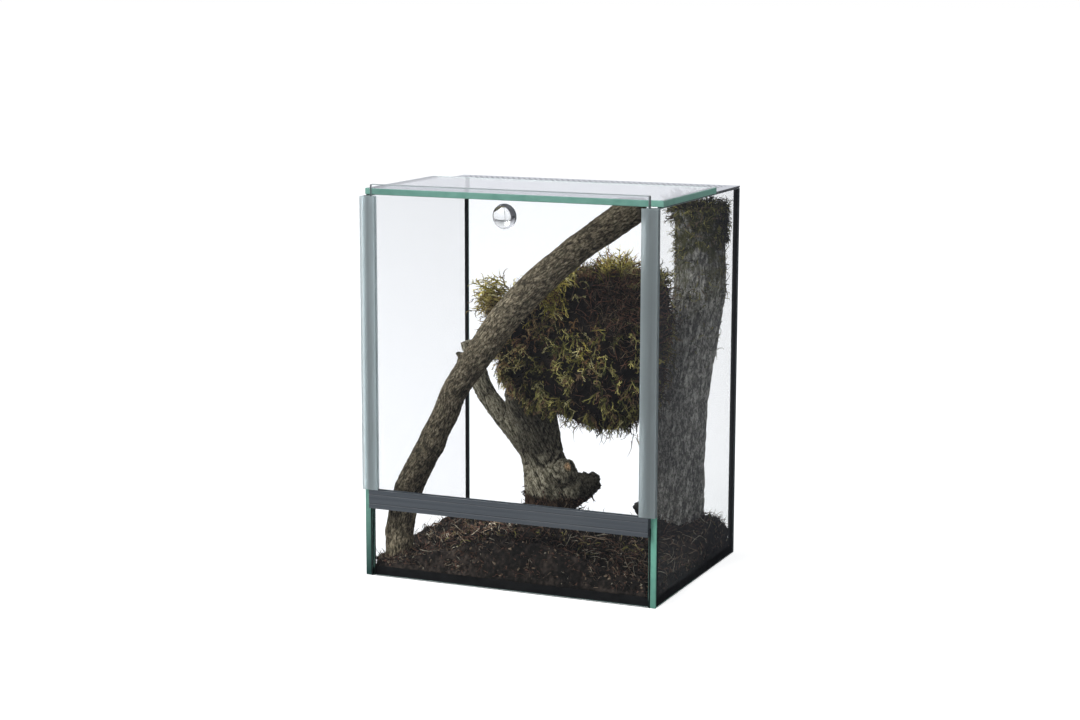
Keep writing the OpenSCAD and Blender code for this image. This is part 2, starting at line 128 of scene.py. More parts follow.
# ---------------------------------------------------------------- meshes
def fast_mesh(name, verts, polys, smooth=True, point_data=None):
    """A mesh object from points in mm and arrays of faces, each of one corner count."""
    verts = np.asarray(verts, np.float32) * MM
    mesh = bpy.data.meshes.new(name)
    mesh.vertices.add(len(verts))
    mesh.vertices.foreach_set("co", verts.ravel())
    corners = np.concatenate([np.asarray(p, np.int32).ravel() for p in polys])
    counts = np.concatenate([np.full(len(p), np.shape(p)[1], np.int32) for p in polys])
    mesh.loops.add(len(corners))
    mesh.loops.foreach_set("vertex_index", corners)
    mesh.polygons.add(len(counts))
    starts = np.concatenate([[0], np.cumsum(counts)[:-1]])
    mesh.polygons.foreach_set("loop_start", starts.astype(np.int32))
    mesh.update(calc_edges=True)
    mesh.polygons.foreach_set("use_smooth", np.full(len(counts), smooth))
    for key, values in (point_data or {}).items():
        values = np.asarray(values, np.float32)
        width = 1 if values.ndim == 1 else values.shape[1]
        kind, field = POINT_KINDS[width]
        attribute = mesh.attributes.new(key, kind, "POINT")
        attribute.data.foreach_set(field, values.ravel())
    mesh.update()
    obj = bpy.data.objects.new(name, mesh)
    bpy.context.scene.collection.objects.link(obj)
    return obj


def give(obj, material, body, replaces=()):
    """Finishes a piece: its material, the body it rides on and the CAD nodes it stands for."""
    obj.data.materials.clear()
    obj.data.materials.append(material)
    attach(obj, body)
    if replaces:
        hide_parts(*replaces)
    return obj


def unit(v):
    return v / np.maximum(np.linalg.norm(v, axis=-1, keepdims=True), 1e-9)


def spline(points, step):
    """Catmull-Rom curve through rows of x, y, z, r, sampled about every step mm."""
    p = np.asarray(points, float)
    rows = []
    for i in range(len(p) - 1):
        a, b, c, d = p[max(i - 1, 0)], p[i], p[i + 1], p[min(i + 2, len(p) - 1)]
        n = max(2, int(np.linalg.norm(c[:3] - b[:3]) / step))
        t = np.arange(n)[:, None] / n
        rows.append(b + 0.5 * t * (c - a + t * (2 * a - 5 * b + 4 * c - d + t * (3 * (b - c) + d - a))))
    rows.append(p[-1:])
    return np.concatenate(rows)


def tube_faces(rings, sides, inward=False):
    """Quads between rings of points, and a fan to one more point at each end. inward turns them round."""
    i, j = np.meshgrid(np.arange(rings - 1), np.arange(sides), indexing="ij")
    a, b = (i * sides + j).ravel(), (i * sides + (j + 1) % sides).ravel()
    k, end = np.arange(sides), rings * sides
    k1 = (k + 1) % sides
    foot, head = np.full(sides, end), np.full(sides, end + 1)
    if inward:
        quads = [a, b, b + sides, a + sides]
        fans = [k1, k, foot], [end - sides + k, end - sides + k1, head]
    else:
        quads = [a, a + sides, b + sides, b]
        fans = [k, k1, foot], [end - sides + k1, end - sides + k, head]
    return [np.stack(quads, 1), np.concatenate([np.stack(fan, 1) for fan in fans])]


def limb(points, step, sides, relief, foot=None, head=None):
    """Closed limb with relief(angle, length, radius) added to its radius, cut level at foot and head.
    Returns its points, its faces, the bark's own relief and, as grain, each point's place round
    and along it."""
    c = spline(points, step)
    t = unit(np.gradient(c[:, :3], axis=0))
    u = unit(np.cross([0.0, 1.0, 0.0], t))
    v = np.cross(t, u)
    length = np.concatenate([[0], np.cumsum(np.linalg.norm(np.diff(c[:, :3], axis=0), axis=1))])
    angle = 2 * np.pi * np.arange(sides) / sides
    n = len(c)

    def at(i):
        """Surface at the fractional ring numbers i, one row a ring and one column an angle."""
        lo = np.clip(np.floor(i).astype(int), 0, n - 2)
        f = (i - lo)[..., None]
        mix = lambda q: q[lo] * (1 - f) + q[lo + 1] * f
        centre, uu, vv = mix(c), unit(mix(u)), unit(mix(v))
        around = np.cos(angle)[None, :, None] * uu + np.sin(angle)[None, :, None] * vv
        s = mix(length[:, None])[..., 0]
        a = np.broadcast_to(angle, s.shape)
        r = centre[..., 3]
        bump, fine = (q.reshape(s.shape) for q in relief(a.ravel(), s.ravel(), r.ravel()))
        grain = np.stack([np.cos(a) * r, np.sin(a) * r, s], -1) * MM
        return centre[..., :3] + around * (r + bump)[..., None], fine, grain

    full = np.broadcast_to(np.arange(n, dtype=float)[:, None], (n, sides)).copy()
    place, _, _ = at(full)
    first, last = np.zeros(sides), np.full(sides, n - 1.0)
    for j in range(sides):
        z = place[:, j, 2]
        if foot is not None and z[0] < foot:
            k = int(np.argmax(z >= foot))
            first[j] = k - (z[k] - foot) / max(z[k] - z[k - 1], 1e-6)
        if head is not None and z.max() > head:
            k = int(np.argmax(z > head))
            last[j] = k - (z[k] - head) / max(z[k] - z[k - 1], 1e-6)
    share = np.linspace(0, 1, n)[:, None]
    place, fine, grain = at(first[None, :] * (1 - share) + last[None, :] * share)
    if foot is not None:
        place[0, :, 2] = foot
    if head is not None:
        place[-1, :, 2] = np.minimum(place[-1, :, 2], head)
    points = place.reshape(-1, 3)
    ends = np.array([place[0].mean(0), place[-1].mean(0)])
    grain = np.concatenate([grain.reshape(-1, 3), [grain[0].mean(0), grain[-1].mean(0)]])
    fine = np.concatenate([fine.ravel(), [0, 0]])
    return np.concatenate([points, ends]), tube_faces(n, sides), fine, grain


def sample_surface(verts, polys, count, rng, weight=None):
    """Random points on a mesh, with their normals. weight scales the chance at each face centre."""
    tris = []
    for p in polys:
        p = np.asarray(p)
        tris.append(p[:, :3])
        if p.shape[1] == 4:
            tris.append(p[:, [0, 2, 3]])
    tris = np.concatenate(tris)
    a, b, c = verts[tris[:, 0]], verts[tris[:, 1]], verts[tris[:, 2]]
    cross = np.cross(b - a, c - a)
    area = np.linalg.norm(cross, axis=1)
    if weight is not None:
        area = area * np.maximum(weight((a + b + c) / 3, unit(cross)), 0)
    pick = rng.choice(len(tris), count, p=area / area.sum())
    r1, r2 = np.sqrt(rng.random(count))[:, None], rng.random(count)[:, None]
    return (1 - r1) * a[pick] + r1 * (1 - r2) * b[pick] + r1 * r2 * c[pick], unit(cross[pick])


def grow(base, heading, length, curl, droop, rng, segments):
    """Curling paths from base, as points and headings with one row a step."""
    n = len(base)
    d, p = unit(heading), base
    bend = unit(any_way(n, rng))
    points, ways = [p], [d]
    for _ in range(segments):
        p = p + d * (length / segments)[:, None]
        wobble = rng.normal(scale=0.12, size=(n, 3))
        fall = np.array([0, 0, droop * 2 / segments])
        d = unit(d + curl / segments * np.cross(bend, d) * 2 + wobble - fall)
        points.append(p)
        ways.append(d)
    return np.array(points), np.array(ways)


LEAF_WIDE, LEAF_THICK = 0.15, 0.35


def leafy(points, ways, radius, tint, rng, leaves=0, leaf=2.0, fade=(0.2, 1.4)):
    """Tapered stems along paths, each a closed body, with closed pointed leaves.
    Returns points, faces and the tint of each point, darker at the foot and brighter at the tip as painted
    shade and light."""
    segments, n = len(points) - 1, points.shape[1]
    side = unit(np.cross(ways[:-1], unit(ways[:-1] + [0.31, 0.17, 0.83])) + 1e-6)
    up = np.cross(ways[:-1], side)
    stack = []
    for k in range(segments):
        r = (radius * (1 - 0.7 * k / segments))[:, None]
        turns = (0, 2 * math.pi / 3, 4 * math.pi / 3)
        stack += [points[k] + r * (math.cos(a) * side[k] + math.sin(a) * up[k]) for a in turns]
    stack.append(points[-1])
    m = 3 * segments + 1
    verts = np.stack(stack, 1).reshape(-1, 3)
    start = (np.arange(n) * m)[:, None]
    quads = []
    for k in range(segments - 1):
        for j in range(3):
            a, b = 3 * k + j, 3 * k + (j + 1) % 3
            quads.append(start + np.array([a, b, b + 3, a + 3]))
    tris = [start + np.array([0, 2, 1])]
    last = 3 * segments - 3
    for j in range(3):
        tris.append(start + np.array([last + j, last + (j + 1) % 3, last + 3]))
    # Painted shade at each stem's foot, rising to painted light at its tip
    glow = np.tile(np.repeat(np.linspace(*fade, segments + 1), [3] * segments + [1]), n)[:, None]
    colour = np.repeat(tint, m, 0)
    colour = np.concatenate([colour[:, :3] * glow, colour[:, 3:]], 1)
    for k in range(leaves):
        f = 0.1 + 0.9 * (k + 0.5) / leaves
        i = min(int(f * segments), segments - 1)
        g = f * segments - i
        at = points[i] * (1 - g) + points[i + 1] * g
        turn = 2.4 * k + rng.uniform(-0.4, 0.4, n)
        out = np.cos(turn)[:, None] * side[i] + np.sin(turn)[:, None] * up[i]
        wide = np.cross(ways[i], out)
        long = leaf * rng.uniform(0.6, 1.2, n)[:, None] * (1.1 - 0.5 * f)
        tip = at + long * unit(0.75 * ways[i] + 0.8 * out)
        w = LEAF_WIDE * leaf
        foot = [at + w * wide, at - w * wide, at + 0.5 * w * ways[i] + LEAF_THICK * w * out]
        first = (np.arange(n) * 4 + len(verts))[:, None]
        tris += [first + np.array(q) for q in ([0, 1, 2], [0, 3, 1], [1, 3, 2], [2, 3, 0])]
        verts = np.concatenate([verts, np.stack(foot + [tip], 1).reshape(-1, 3)])
        # Leaves are painted darker near the foot and brighter near the tip, as painted shade and light
        shade = (rng.uniform(0.8, 1.25, n) * (fade[0] + (fade[1] - fade[0]) * f))[:, None]
        leaf_tint = np.concatenate([tint[:, :3] * shade, tint[:, 3:]], 1)
        colour = np.concatenate([colour, np.repeat(leaf_tint, 4, 0)])
    return verts, [np.concatenate(quads), np.concatenate(tris)], colour


def strands(
    base, heading, length, radius, tint, rng, segments=5, curl=0.5, droop=0.15, leaves=0, leaf=2.0
):
    """Single curling stems or fibres, with leaves when asked for."""
    points, ways = grow(base, heading, length, curl, droop, rng, segments)
    return leafy(points, ways, radius, tint, rng, leaves, leaf, (0.6, 1.15))


def join_parts(parts):
    """Several (points, faces, tint) sets as one."""
    verts, quads, tris, tints, n = [], [], [], [], 0
    for v, polys, c in parts:
        for p in polys:
            (quads if np.shape(p)[1] == 4 else tris).append(np.asarray(p) + n)
        verts.append(v)
        tints.append(c)
        n += len(v)
    out = [np.concatenate(x) for x in (quads, tris) if x]
    return np.concatenate(verts), out, np.concatenate(tints)


# ---------------------------------------------------------------- materials
class Nodes:
    """The node tree of a material or a world, with short ways to add to it."""

    def __init__(self, name, owners=bpy.data.materials, out="ShaderNodeOutputMaterial"):
        self.owner = owners.new(name)
        self.owner.use_nodes = True
        self.tree = self.owner.node_tree
        self.tree.nodes.clear()
        self.out = self.add(out)

    def add(self, kind, inputs=None, **settings):
        n = self.tree.nodes.new(kind)
        for key, value in settings.items():
            setattr(n, key, value)
        for key, value in (inputs or {}).items():
            self.set(n.inputs[key], value)
        return n

    def set(self, socket, value):
        if isinstance(value, bpy.types.NodeSocket):
            self.tree.links.new(value, socket)
        elif isinstance(value, bpy.types.Node):
            self.tree.links.new(value.outputs[0], socket)
        elif isinstance(value, (tuple, list)) and socket.type == "RGBA" and len(value) == 3:
            socket.default_value = (*value, 1)
        else:
            socket.default_value = value

    def shader(self, node):
        self.set(self.out.inputs["Surface"], node)
        return self.owner

    def see_through(self, body, colour):
        """body, which lamps and soft light reach through, as they do through a real pane."""
        path = self.add("ShaderNodeLightPath")
        lets = self.math("MAXIMUM", path.outputs["Is Shadow Ray"], path.outputs["Is Diffuse Ray"])
        through = self.add("ShaderNodeBsdfTransparent", {"Color": colour})
        return self.shader(self.shade(lets, body, through))

    def math(self, operation, a, b=0.0):
        return self.add("ShaderNodeMath", {0: a, 1: b}, operation=operation)

    def ramp(self, factor, stops):
        n = self.add("ShaderNodeValToRGB", {0: factor})
        r = n.color_ramp
        while len(r.elements) < len(stops):
            r.elements.new(0.5)
        for e, (at, colour) in zip(r.elements, stops):
            e.position = at
            e.color = (*colour, 1) if len(colour) == 3 else colour
        return n

    def spread(self, value, a, b, c=0.0, d=1.0):
        return self.add("ShaderNodeMapRange", {0: value, 1: a, 2: b, 3: c, 4: d})

    def shade(self, factor, a, b):
        return self.add("ShaderNodeMixShader", {0: factor, 1: a, 2: b})

    def place(self):
        return self.add("ShaderNodeTexCoord").outputs["Object"]

    def height(self):
        """Place along z, in metres."""
        return self.add("ShaderNodeSeparateXYZ", {0: self.place()}).outputs["Z"]

    def towards(self, vector, axis):
        dot = self.add("ShaderNodeVectorMath", {0: vector, 1: axis}, operation="DOT_PRODUCT")
        return dot.outputs["Value"]

    def point(self, name, output="Color"):
        """A value held by the mesh's own points."""
        return self.add("ShaderNodeAttribute", attribute_name=name).outputs[output]

    def noise(self, scale, detail, rough, stretch=(1, 1, 1)):
        m = self.add("ShaderNodeMapping", {"Vector": self.place(), "Scale": stretch})
        return self.noise_on(m, scale, detail, rough)

    def noise_on(self, vector, scale, detail, rough=0.5):
        inputs = {"Vector": vector, "Scale": scale, "Detail": detail, "Roughness": rough}
        return self.add("ShaderNodeTexNoise", inputs)

    def plus(self, a, factor, b):
        """a times factor, plus b."""
        return self.add("ShaderNodeMath", {0: a, 1: factor, 2: b}, operation="MULTIPLY_ADD")

    def times(self, a, b):
        return self.mix(1.0, a, b, blend="MULTIPLY")

    def mix(self, factor, a, b, blend="MIX"):
        n = self.add("ShaderNodeMix", data_type="RGBA", blend_type=blend)
        self.set(n.inputs[0], factor)
        self.set(n.inputs[6], a)
        self.set(n.inputs[7], b)
        return n.outputs[2]

    def bump(self, height, strength, distance):
        return self.add("ShaderNodeBump", {"Height": height, "Strength": strength, "Distance": distance})

    def principled(self, **inputs):
        named = {k.replace("_", " "): v for k, v in inputs.items()}
        return self.add("ShaderNodeBsdfPrincipled", named)


GLASS_IOR = 1.5
PANE_LETS, KNOB_LETS = (0.95, 0.97, 0.96), (0.9, 0.92, 0.93)
# Painted shade on the glass edges: at a pane's foot, where the soil inside keeps light from the edge, and
# behind a rail, with the black of the joint at the rear
EDGE_FOOT_SHADE, EDGE_RAIL_SHADE_AND_JOINT = (0.03, 0.075, 0.068), (0.13, 0.155, 0.165)


def glass_material(
    name, axis, edge_light, edge_deep, foot_shade_span=None, railed_from=None, edge_clear=0.25,
    tint=(0.985, 0.993, 1.0),
):
    """Float glass with clear faces square to axis and tinted satin edges, with painted shade on the edges
    towards their foot and behind a rail.
    """
    m = Nodes(name)
    square = m.towards(m.add("ShaderNodeNewGeometry").outputs["Normal"], axis)
    face = m.spread(m.math("ABSOLUTE", square), 0.9, 0.96)
    streak = m.noise(160, 3, 0.6)
    tone = m.mix(m.spread(streak, 0.3, 0.7), edge_deep, edge_light)
    if foot_shade_span is not None:
        # Painted shade: the edge darkens towards the bottom, where the soil inside keeps light from it
        where = m.add("ShaderNodeSeparateXYZ", {0: m.place()})
        foot = m.spread(where.outputs["Z"], *foot_shade_span)
        tone = m.mix(foot, EDGE_FOOT_SHADE, tone)
        if railed_from is not None:
            # Painted shade: behind its grey rail the pane's edge is painted dark, and at the rear it takes
            # the black of the joint
            behind_rail = m.math("GREATER_THAN", where.outputs["Z"], railed_from)
            rear = m.math("GREATER_THAN", where.outputs["Y"], 0.0)
            railed = m.math("MAXIMUM", behind_rail, rear)
            tone = m.mix(railed, tone, EDGE_RAIL_SHADE_AND_JOINT)
    edge = m.principled(
        Base_Color=tone, Roughness=0.28, IOR=GLASS_IOR, Transmission_Weight=edge_clear,
        Normal=m.bump(streak, 0.15, 0.0002),
    )
    clear = m.principled(Base_Color=tint, Roughness=0.0, IOR=GLASS_IOR, Transmission_Weight=1.0)
    return m.see_through(m.shade(face, edge, clear), PANE_LETS)


EDGE_GREEN, EDGE_DEEP = (0.32, 0.62, 0.51), (0.22, 0.48, 0.39)
EDGE_PALE, EDGE_GREY = (0.50, 0.54, 0.56), (0.30, 0.31, 0.34)
RAIL_FOOT = 0.0575
GLASS_LEFT = glass_material(
    "glass_left", (1, 0, 0), EDGE_GREEN, EDGE_DEEP, foot_shade_span=(0.002, 0.06), railed_from=RAIL_FOOT
)
GLASS_RIGHT = glass_material(
    "glass_right", (1, 0, 0), (0.26, 0.66, 0.5), (0.19, 0.5, 0.39), foot_shade_span=(-0.05, 0.045),
    railed_from=RAIL_FOOT, edge_clear=0.1,
)
GLASS_Y = glass_material("glass_front_back", (0, 1, 0), EDGE_GREEN, EDGE_DEEP, foot_shade_span=(0.004, 0.006))
GLASS_Z = glass_material("glass_level", (0, 0, 1), (0.28, 0.54, 0.45), (0.2, 0.43, 0.35))
GLASS_DOOR = glass_material(
    "glass_door", (0, 1, 0), EDGE_PALE, EDGE_GREY, edge_clear=0.6, tint=(0.87, 0.88, 0.896)
)


def silicone_material():
    m = Nodes("silicone_black")
    n = m.noise(220, 3, 0.5)
    return m.shader(m.principled(
        Base_Color=m.mix(n, (0.006, 0.006, 0.007), (0.018, 0.018, 0.02)),
        Roughness=m.spread(n, 0.3, 0.7, 0.45, 0.7), Specular_IOR_Level=0.2,
        Normal=m.bump(m.noise(90, 2, 0.5), 0.3, 0.0004),
    ))


def rail_material(name, bands):
    """Milky grey extruded plastic that lets light through, with painted light and shade in bands across its
    width, darker where its walls double up, and faint die lines along it. bands lists places across, in mm,
    with brightness."""
    m = Nodes(name)
    where = m.add("ShaderNodeSeparateXYZ", {0: m.place()})
    first, last = bands[0][0], bands[-1][0]
    place = m.spread(where.outputs["X"], first * MM, last * MM)
    shades = [((x - first) / (last - first), tuple(k * c for c in RAIL_TINT)) for x, k in bands]
    # Painted light and shade in bands across the rail's width
    tone = m.ramp(place, shades)
    lines = m.noise(1500, 2, 0.5, stretch=(1, 1, 0.004))
    cloud = m.noise(14, 3, 0.5)
    streak = m.spread(lines, 0.3, 0.7, 0.94, 1.05)
    tone = m.times(m.times(tone, streak), m.spread(cloud, 0.3, 0.7, 0.95, 1.06))
    return m.shader(m.principled(
        Base_Color=tone, Transmission_Weight=0.7, IOR=1.45,
        Roughness=m.spread(lines, 0.3, 0.7, 0.3, 0.42),
        Normal=m.bump(lines, 0.12, 0.0001),
    ))


def sill_material():
    """Dark grey extruded plastic with lengthwise die lines."""
    m = Nodes("sill_plastic_dark")
    lines = m.noise(700, 2, 0.5, stretch=(0.004, 1, 1))
    scuff = m.noise(30, 4, 0.6, stretch=(0.3, 1, 1))
    tone = m.mix(m.spread(lines, 0.3, 0.7), (0.072, 0.083, 0.096), (0.095, 0.108, 0.124))
    tone = m.mix(m.spread(scuff, 0.55, 0.75, 0.0, 0.3), tone, (0.12, 0.13, 0.14))
    return m.shader(m.principled(
        Base_Color=tone,
        Roughness=m.spread(lines, 0.3, 0.7, 0.32, 0.5),
        Normal=m.bump(lines, 0.2, 0.00015),
    ))


def vent_material():
    m = Nodes("vent_aluminium")
    grain = m.noise(900, 2, 0.5, stretch=(0.02, 1, 1))
    return m.shader(m.principled(
        Base_Color=m.mix(grain, (0.62, 0.63, 0.65), (0.76, 0.77, 0.78)), Metallic=1.0,
        Roughness=m.spread(grain, 0.3, 0.7, 0.28, 0.42),
        Normal=m.bump(grain, 0.1, 0.0001),
    ))


def clear_material(name, tint, rough):
    m = Nodes(name)
    body = m.principled(Base_Color=tint, Roughness=rough, IOR=1.49, Transmission_Weight=1.0)
    return m.see_through(body, KNOB_LETS)


BARK_STEPS, BARK_MOSS = (0.12, 0.5, 0.92), (0.07, 0.066, 0.02)


def bark_material(name, dark, mid, light, lichen, moss_from=None, along=0.35, pits=900, plate=400):
    """Bark coloured by its own relief: dark in the cracks and pale on the plates, partly the bark's own
    colour and partly painted shade and light, specked and with lichen bloom. along draws the pattern out
    along the limb; pits and plate set how fine it is, in cells a metre."""
    m = Nodes(name)
    relief, painted_light_and_stain = m.point("relief", "Fac"), m.point("tone")
    flow = m.add("ShaderNodeMapping", {"Vector": m.point("grain", "Vector"), "Scale": (1, 1, along)})
    fine = m.noise_on(flow, pits, 6.0, 0.7)
    speck = m.noise_on(flow, pits * 2.3, 2.0, 0.6)
    sway = m.noise_on(flow, plate * 0.7, 3.0).outputs["Color"]
    sway = m.add("ShaderNodeVectorMath", {0: sway, 3: 2.2 / plate}, operation="SCALE")
    bent = m.add("ShaderNodeVectorMath", {0: flow, 1: sway}, operation="ADD")
    cells = m.add("ShaderNodeTexVoronoi", {"Vector": bent, "Scale": plate}, feature="DISTANCE_TO_EDGE")
    plates = m.spread(cells.outputs["Distance"], 0.0, 0.09)
    patch = m.noise(150, 5, 0.7)
    wide = m.noise(30, 3, 0.6)
    level = m.math("ADD", m.plus(fine, 2.2, -1.38), relief)
    level = m.plus(speck, 1.1, m.math("SUBTRACT", level, 0.55))
    level = m.plus(plates, 0.3, level)
    tone = m.ramp(level, list(zip(BARK_STEPS, (dark, mid, light))))
    bloom = m.spread(patch, 0.5, 0.68, 0.0, 0.4)
    tone = m.mix(bloom, tone, m.mix(0.4, tone, lichen))
    tone = m.times(tone, m.spread(wide, 0.3, 0.7, 0.85, 1.15))
    if moss_from is not None:
        rise = m.spread(m.height(), *moss_from)
        cover = m.math("MULTIPLY", rise, m.spread(m.noise(120, 4, 0.6), 0.42, 0.55))
        tone = m.mix(cover, tone, BARK_MOSS)
    # Each point's tone: painted light and shade by place, and on the stump also its soil and bare scar
    tone = m.times(tone, painted_light_and_stain)
    return m.shader(m.principled(
        Base_Color=tone, Roughness=m.spread(fine, 0.3, 0.7, 0.8, 1.0),
        Specular_IOR_Level=0.12, Normal=m.bump(m.plus(plates, 0.5, fine), 0.9, 0.0007),
    ))


def tint_material(name, fine_scale, bump):
    """Colour from the piece's own points, broken up by fine noise."""
    m = Nodes(name)
    fine = m.noise(fine_scale, 5, 0.65)
    colour = m.times(m.point("tint"), m.spread(fine, 0.25, 0.75, 0.55, 1.35))
    return m.shader(m.principled(
        Base_Color=colour, Roughness=m.spread(fine, 0.3, 0.7, 0.7, 0.95),
        Specular_IOR_Level=0.1, Normal=m.bump(fine, bump, 0.0006),
    ))


SILICONE = silicone_material()
RAIL_TINT = (0.52, 0.585, 0.6)
# Painted light and shade across each rail: the left rail's outer strip is painted brightest, as the light
# behind shines through it, and the right rail is painted darker
RAIL_LEFT = rail_material("rail_left_grey", [
    (-100, 2.0), (-98.6, 1.9), (-97.4, 1.5), (-96.0, 1.2),
    (-94.3, 0.98), (-92.4, 1.1), (-90.0, 1.2), (-88.6, 0.95),
])
RAIL_RIGHT = rail_material("rail_right_grey", [
    (88.6, 1.2), (90.2, 1.18), (91.4, 0.98), (93.0, 0.85),
    (95.6, 0.82), (98.0, 0.86), (98.9, 0.92), (100, 1.2),
])
SILL = sill_material()
VENT = vent_material()
KNOB = clear_material("knob_clear", (0.97, 0.975, 0.98), 0.0)
BARK_BRANCH = bark_material(
    "bark_branch", (0.03, 0.024, 0.016), (0.165, 0.132, 0.09), (0.39, 0.325, 0.23), (0.2, 0.185, 0.12),
    along=0.24, pits=1300, plate=800,
)
BARK_STUMP = bark_material(
    "bark_stump", (0.021, 0.017, 0.011), (0.19, 0.163, 0.115), (0.56, 0.5, 0.38), (0.28, 0.28, 0.18),
    along=0.22, pits=1100, plate=600,
)
BARK_TRUNK = bark_material(
    "bark_trunk", (0.085, 0.079, 0.073), (0.285, 0.268, 0.25), (0.52, 0.492, 0.46), (0.22, 0.21, 0.16),
    moss_from=(0.16, 0.215), along=0.36, pits=1000, plate=380,
)
MOSS_MAT = tint_material("moss_stems", 700, 0.3)
CORE_MAT = tint_material("moss_root_and_shade_core", 260, 0.9)
SOIL_MAT = tint_material("soil_fibrous", 420, 0.9)

SEALS = [node for node in NODES if node.startswith(("seam_", "bed_"))]
for material, named in (
    (GLASS_Y, ["back_pane", "front_strip"]), (GLASS_Z, ["top_pane", "floor_pane"]),
    (GLASS_LEFT, ["left_pane"]), (GLASS_RIGHT, ["right_pane"]), (GLASS_DOOR, ["door_pane"]),
    (VENT, ["vent_plate"]), (SILL, ["sill_profile"]), (RAIL_LEFT, ["left_rail"]),
    (RAIL_RIGHT, ["right_rail"]), (SILICONE, SEALS),
):
    for node in named:
        NODES[node].data.materials.clear()
        NODES[node].data.materials.append(material)


# ---------------------------------------------------------------- knob
KNOB_D, KNOB_H, KNOB_RIM, PAD_T = 15.6, 6.0, 1.4, 0.4
DOOR_FRONT_Y, KNOB_Z, PAD_LIFT = -77.1, 237.5, 0.06


def knob_mesh(slices, arc):
    """Clear domed knob and its thin pad as one body, a hair off the door so the surfaces stay apart."""
    cap, rim_r = KNOB_H - KNOB_RIM, KNOB_D / 2
    dome = (rim_r**2 + cap**2) / (2 * cap)
    reach = math.asin(rim_r / dome)
    outline = [(rim_r - 1.2, PAD_LIFT), (rim_r - 1.0, PAD_T - 0.1), (rim_r - 0.5, PAD_T + 0.06)]
    outline += [(rim_r - 0.05, PAD_T + 0.35), (rim_r, PAD_T + KNOB_RIM - 0.2)]
    for k in range(arc):
        a = reach * (1 - k / arc) * 0.995
        outline.append((dome * math.sin(a), PAD_T + KNOB_H - dome * (1 - math.cos(a))))
    outline = np.array(outline)
    turn = 2 * np.pi * np.arange(slices) / slices
    rings = np.stack([
        outline[:, :1] * np.cos(turn), np.repeat(DOOR_FRONT_Y - outline[:, 1:], slices, 1),
        KNOB_Z + outline[:, :1] * np.sin(turn)
    ], 2)
    ends = [[0, DOOR_FRONT_Y - PAD_LIFT, KNOB_Z], [0, DOOR_FRONT_Y - PAD_T - KNOB_H, KNOB_Z]]
    return np.concatenate([rings.reshape(-1, 3), ends]), tube_faces(len(outline), slices, inward=True)


KNOB_SLICES, KNOB_ARC = 96, 26
v, f = knob_mesh(KNOB_SLICES, KNOB_ARC)
knob = fast_mesh("knob_clear_dome", v, f)
give(knob, KNOB, "door", ["door_knob", "knob_pad"])

# ---------------------------------------------------------------- wood
def bark_relief(cell, stretch, depth, lumps, seed, knots=()):
    """Relief of bark: plates and cracks about cell mm wide, drawn out along the limb, over lumps."""

    def relief(angle, s, r):
        around = np.stack([np.cos(angle) * r, np.sin(angle) * r, s / stretch], 1) / cell
        warp = fbm(around * 0.35, 2, seed + 9)[:, None] * 0.9
        plates = fbm(around + warp, 4, seed, 0.6)
        cracks = 1 - np.abs(fbm(around * 0.6 + warp + 5, 3, seed + 3)) * 2.2
        broad = fbm(np.stack([np.cos(angle), np.sin(angle), s / (2.2 * r)], 1) * 0.9, 2, seed + 5)
        fine = depth * (plates - 0.75 * np.clip(cracks, 0, 1) ** 2)
        out = fine + lumps * broad
        for s0, a0, wide, high in knots:
            away = np.minimum(np.abs(angle - a0), 2 * np.pi - np.abs(angle - a0)) * r
            d2 = ((s - s0) ** 2 + away**2) / wide**2
            swell = high * np.exp(-d2 * d2)
            out = out + swell * (1 + 0.45 * plates)
            fine = fine - 0.35 * depth * np.minimum(swell, 2.0)
        return out, fine

    return relief


def bark_piece(name, mesh, bump, depth, tone, grain, material, node):
    """A limb's finished piece. Its points carry what bark_material reads."""
    # Dark in the bark's cracks and pale on its plates, from its own relief: partly the bark's own colour,
    # partly painted shade and light
    shade = np.clip(0.5 + bump / (2.2 * depth), 0, 1)
    piece = fast_mesh(name, *mesh, point_data={"relief": shade, "tone": tone, "grain": grain})
    give(piece, material, "tank", [node])


BRANCH_SHAPE = [
    (0, -0.03, 1.02), (0.003, 0.075, 1.02), (0.016, 0.14, 1.02), (0.05, 0.222, 1.02),
    (0.118, 0.312, 1), (0.203, 0.425, 0.94), (0.25, 0.497, 0.95), (0.366, 0.609, 1.07),
    (0.47, 0.704, 1.09), (0.612, 0.803, 1.07), (0.755, 0.886, 0.99),
    (0.856, 0.936, 1.04), (0.932, 0.973, 1.06), (0.9854, 0.99835, 1.06),
]
# Of each limb's mesh: the rings' spacing in mm and the points round it; and the bark's depth in mm
BRANCH_STEP, BRANCH_SIDES, BRANCH_DEPTH = 0.62, 140, 0.4
# Each knot: how far along the branch, which way round, how wide and how high
BRANCH_KNOTS = [
    (157, 3.35, 1.9, 2.3), (155.5, 3.5, 3.4, 0.8), (60, 3.0, 3.5, 0.8), (30, 3.2, 4.0, 0.7),
    (96, 0.4, 5, 0.7), (178, 2.0, 4.0, 0.7), (225, 4.4, 3.5, 0.8),
]
branch_points = [
    (across(q[0], BRANCH_M), BRANCH_Y, upward(q[1]), (BRANCH_R - 0.4) * q[2]) for q in BRANCH_SHAPE
]
v, f, b, grain = limb(
    branch_points, BRANCH_STEP, BRANCH_SIDES,
    bark_relief(1.1, 1.8, BRANCH_DEPTH, 0.5, 11, knots=BRANCH_KNOTS),
    foot=FLOOR_TOP, head=BRANCH_HEAD,
)
# Painted light and shade along the branch: brighter in the middle and at the foot, darker near the top
tone = 1.12 + 0.6 * bell(v[:, 2], 172, 34) + 0.9 * np.clip((45 - v[:, 2]) / 25, 0, 1)
tone -= 0.2 * np.clip((v[:, 2] - 200) / 30, 0, 1)
bark_piece("branch_bark", (v, f), b, BRANCH_DEPTH, tone, grain, BARK_BRANCH, "leaning_branch")

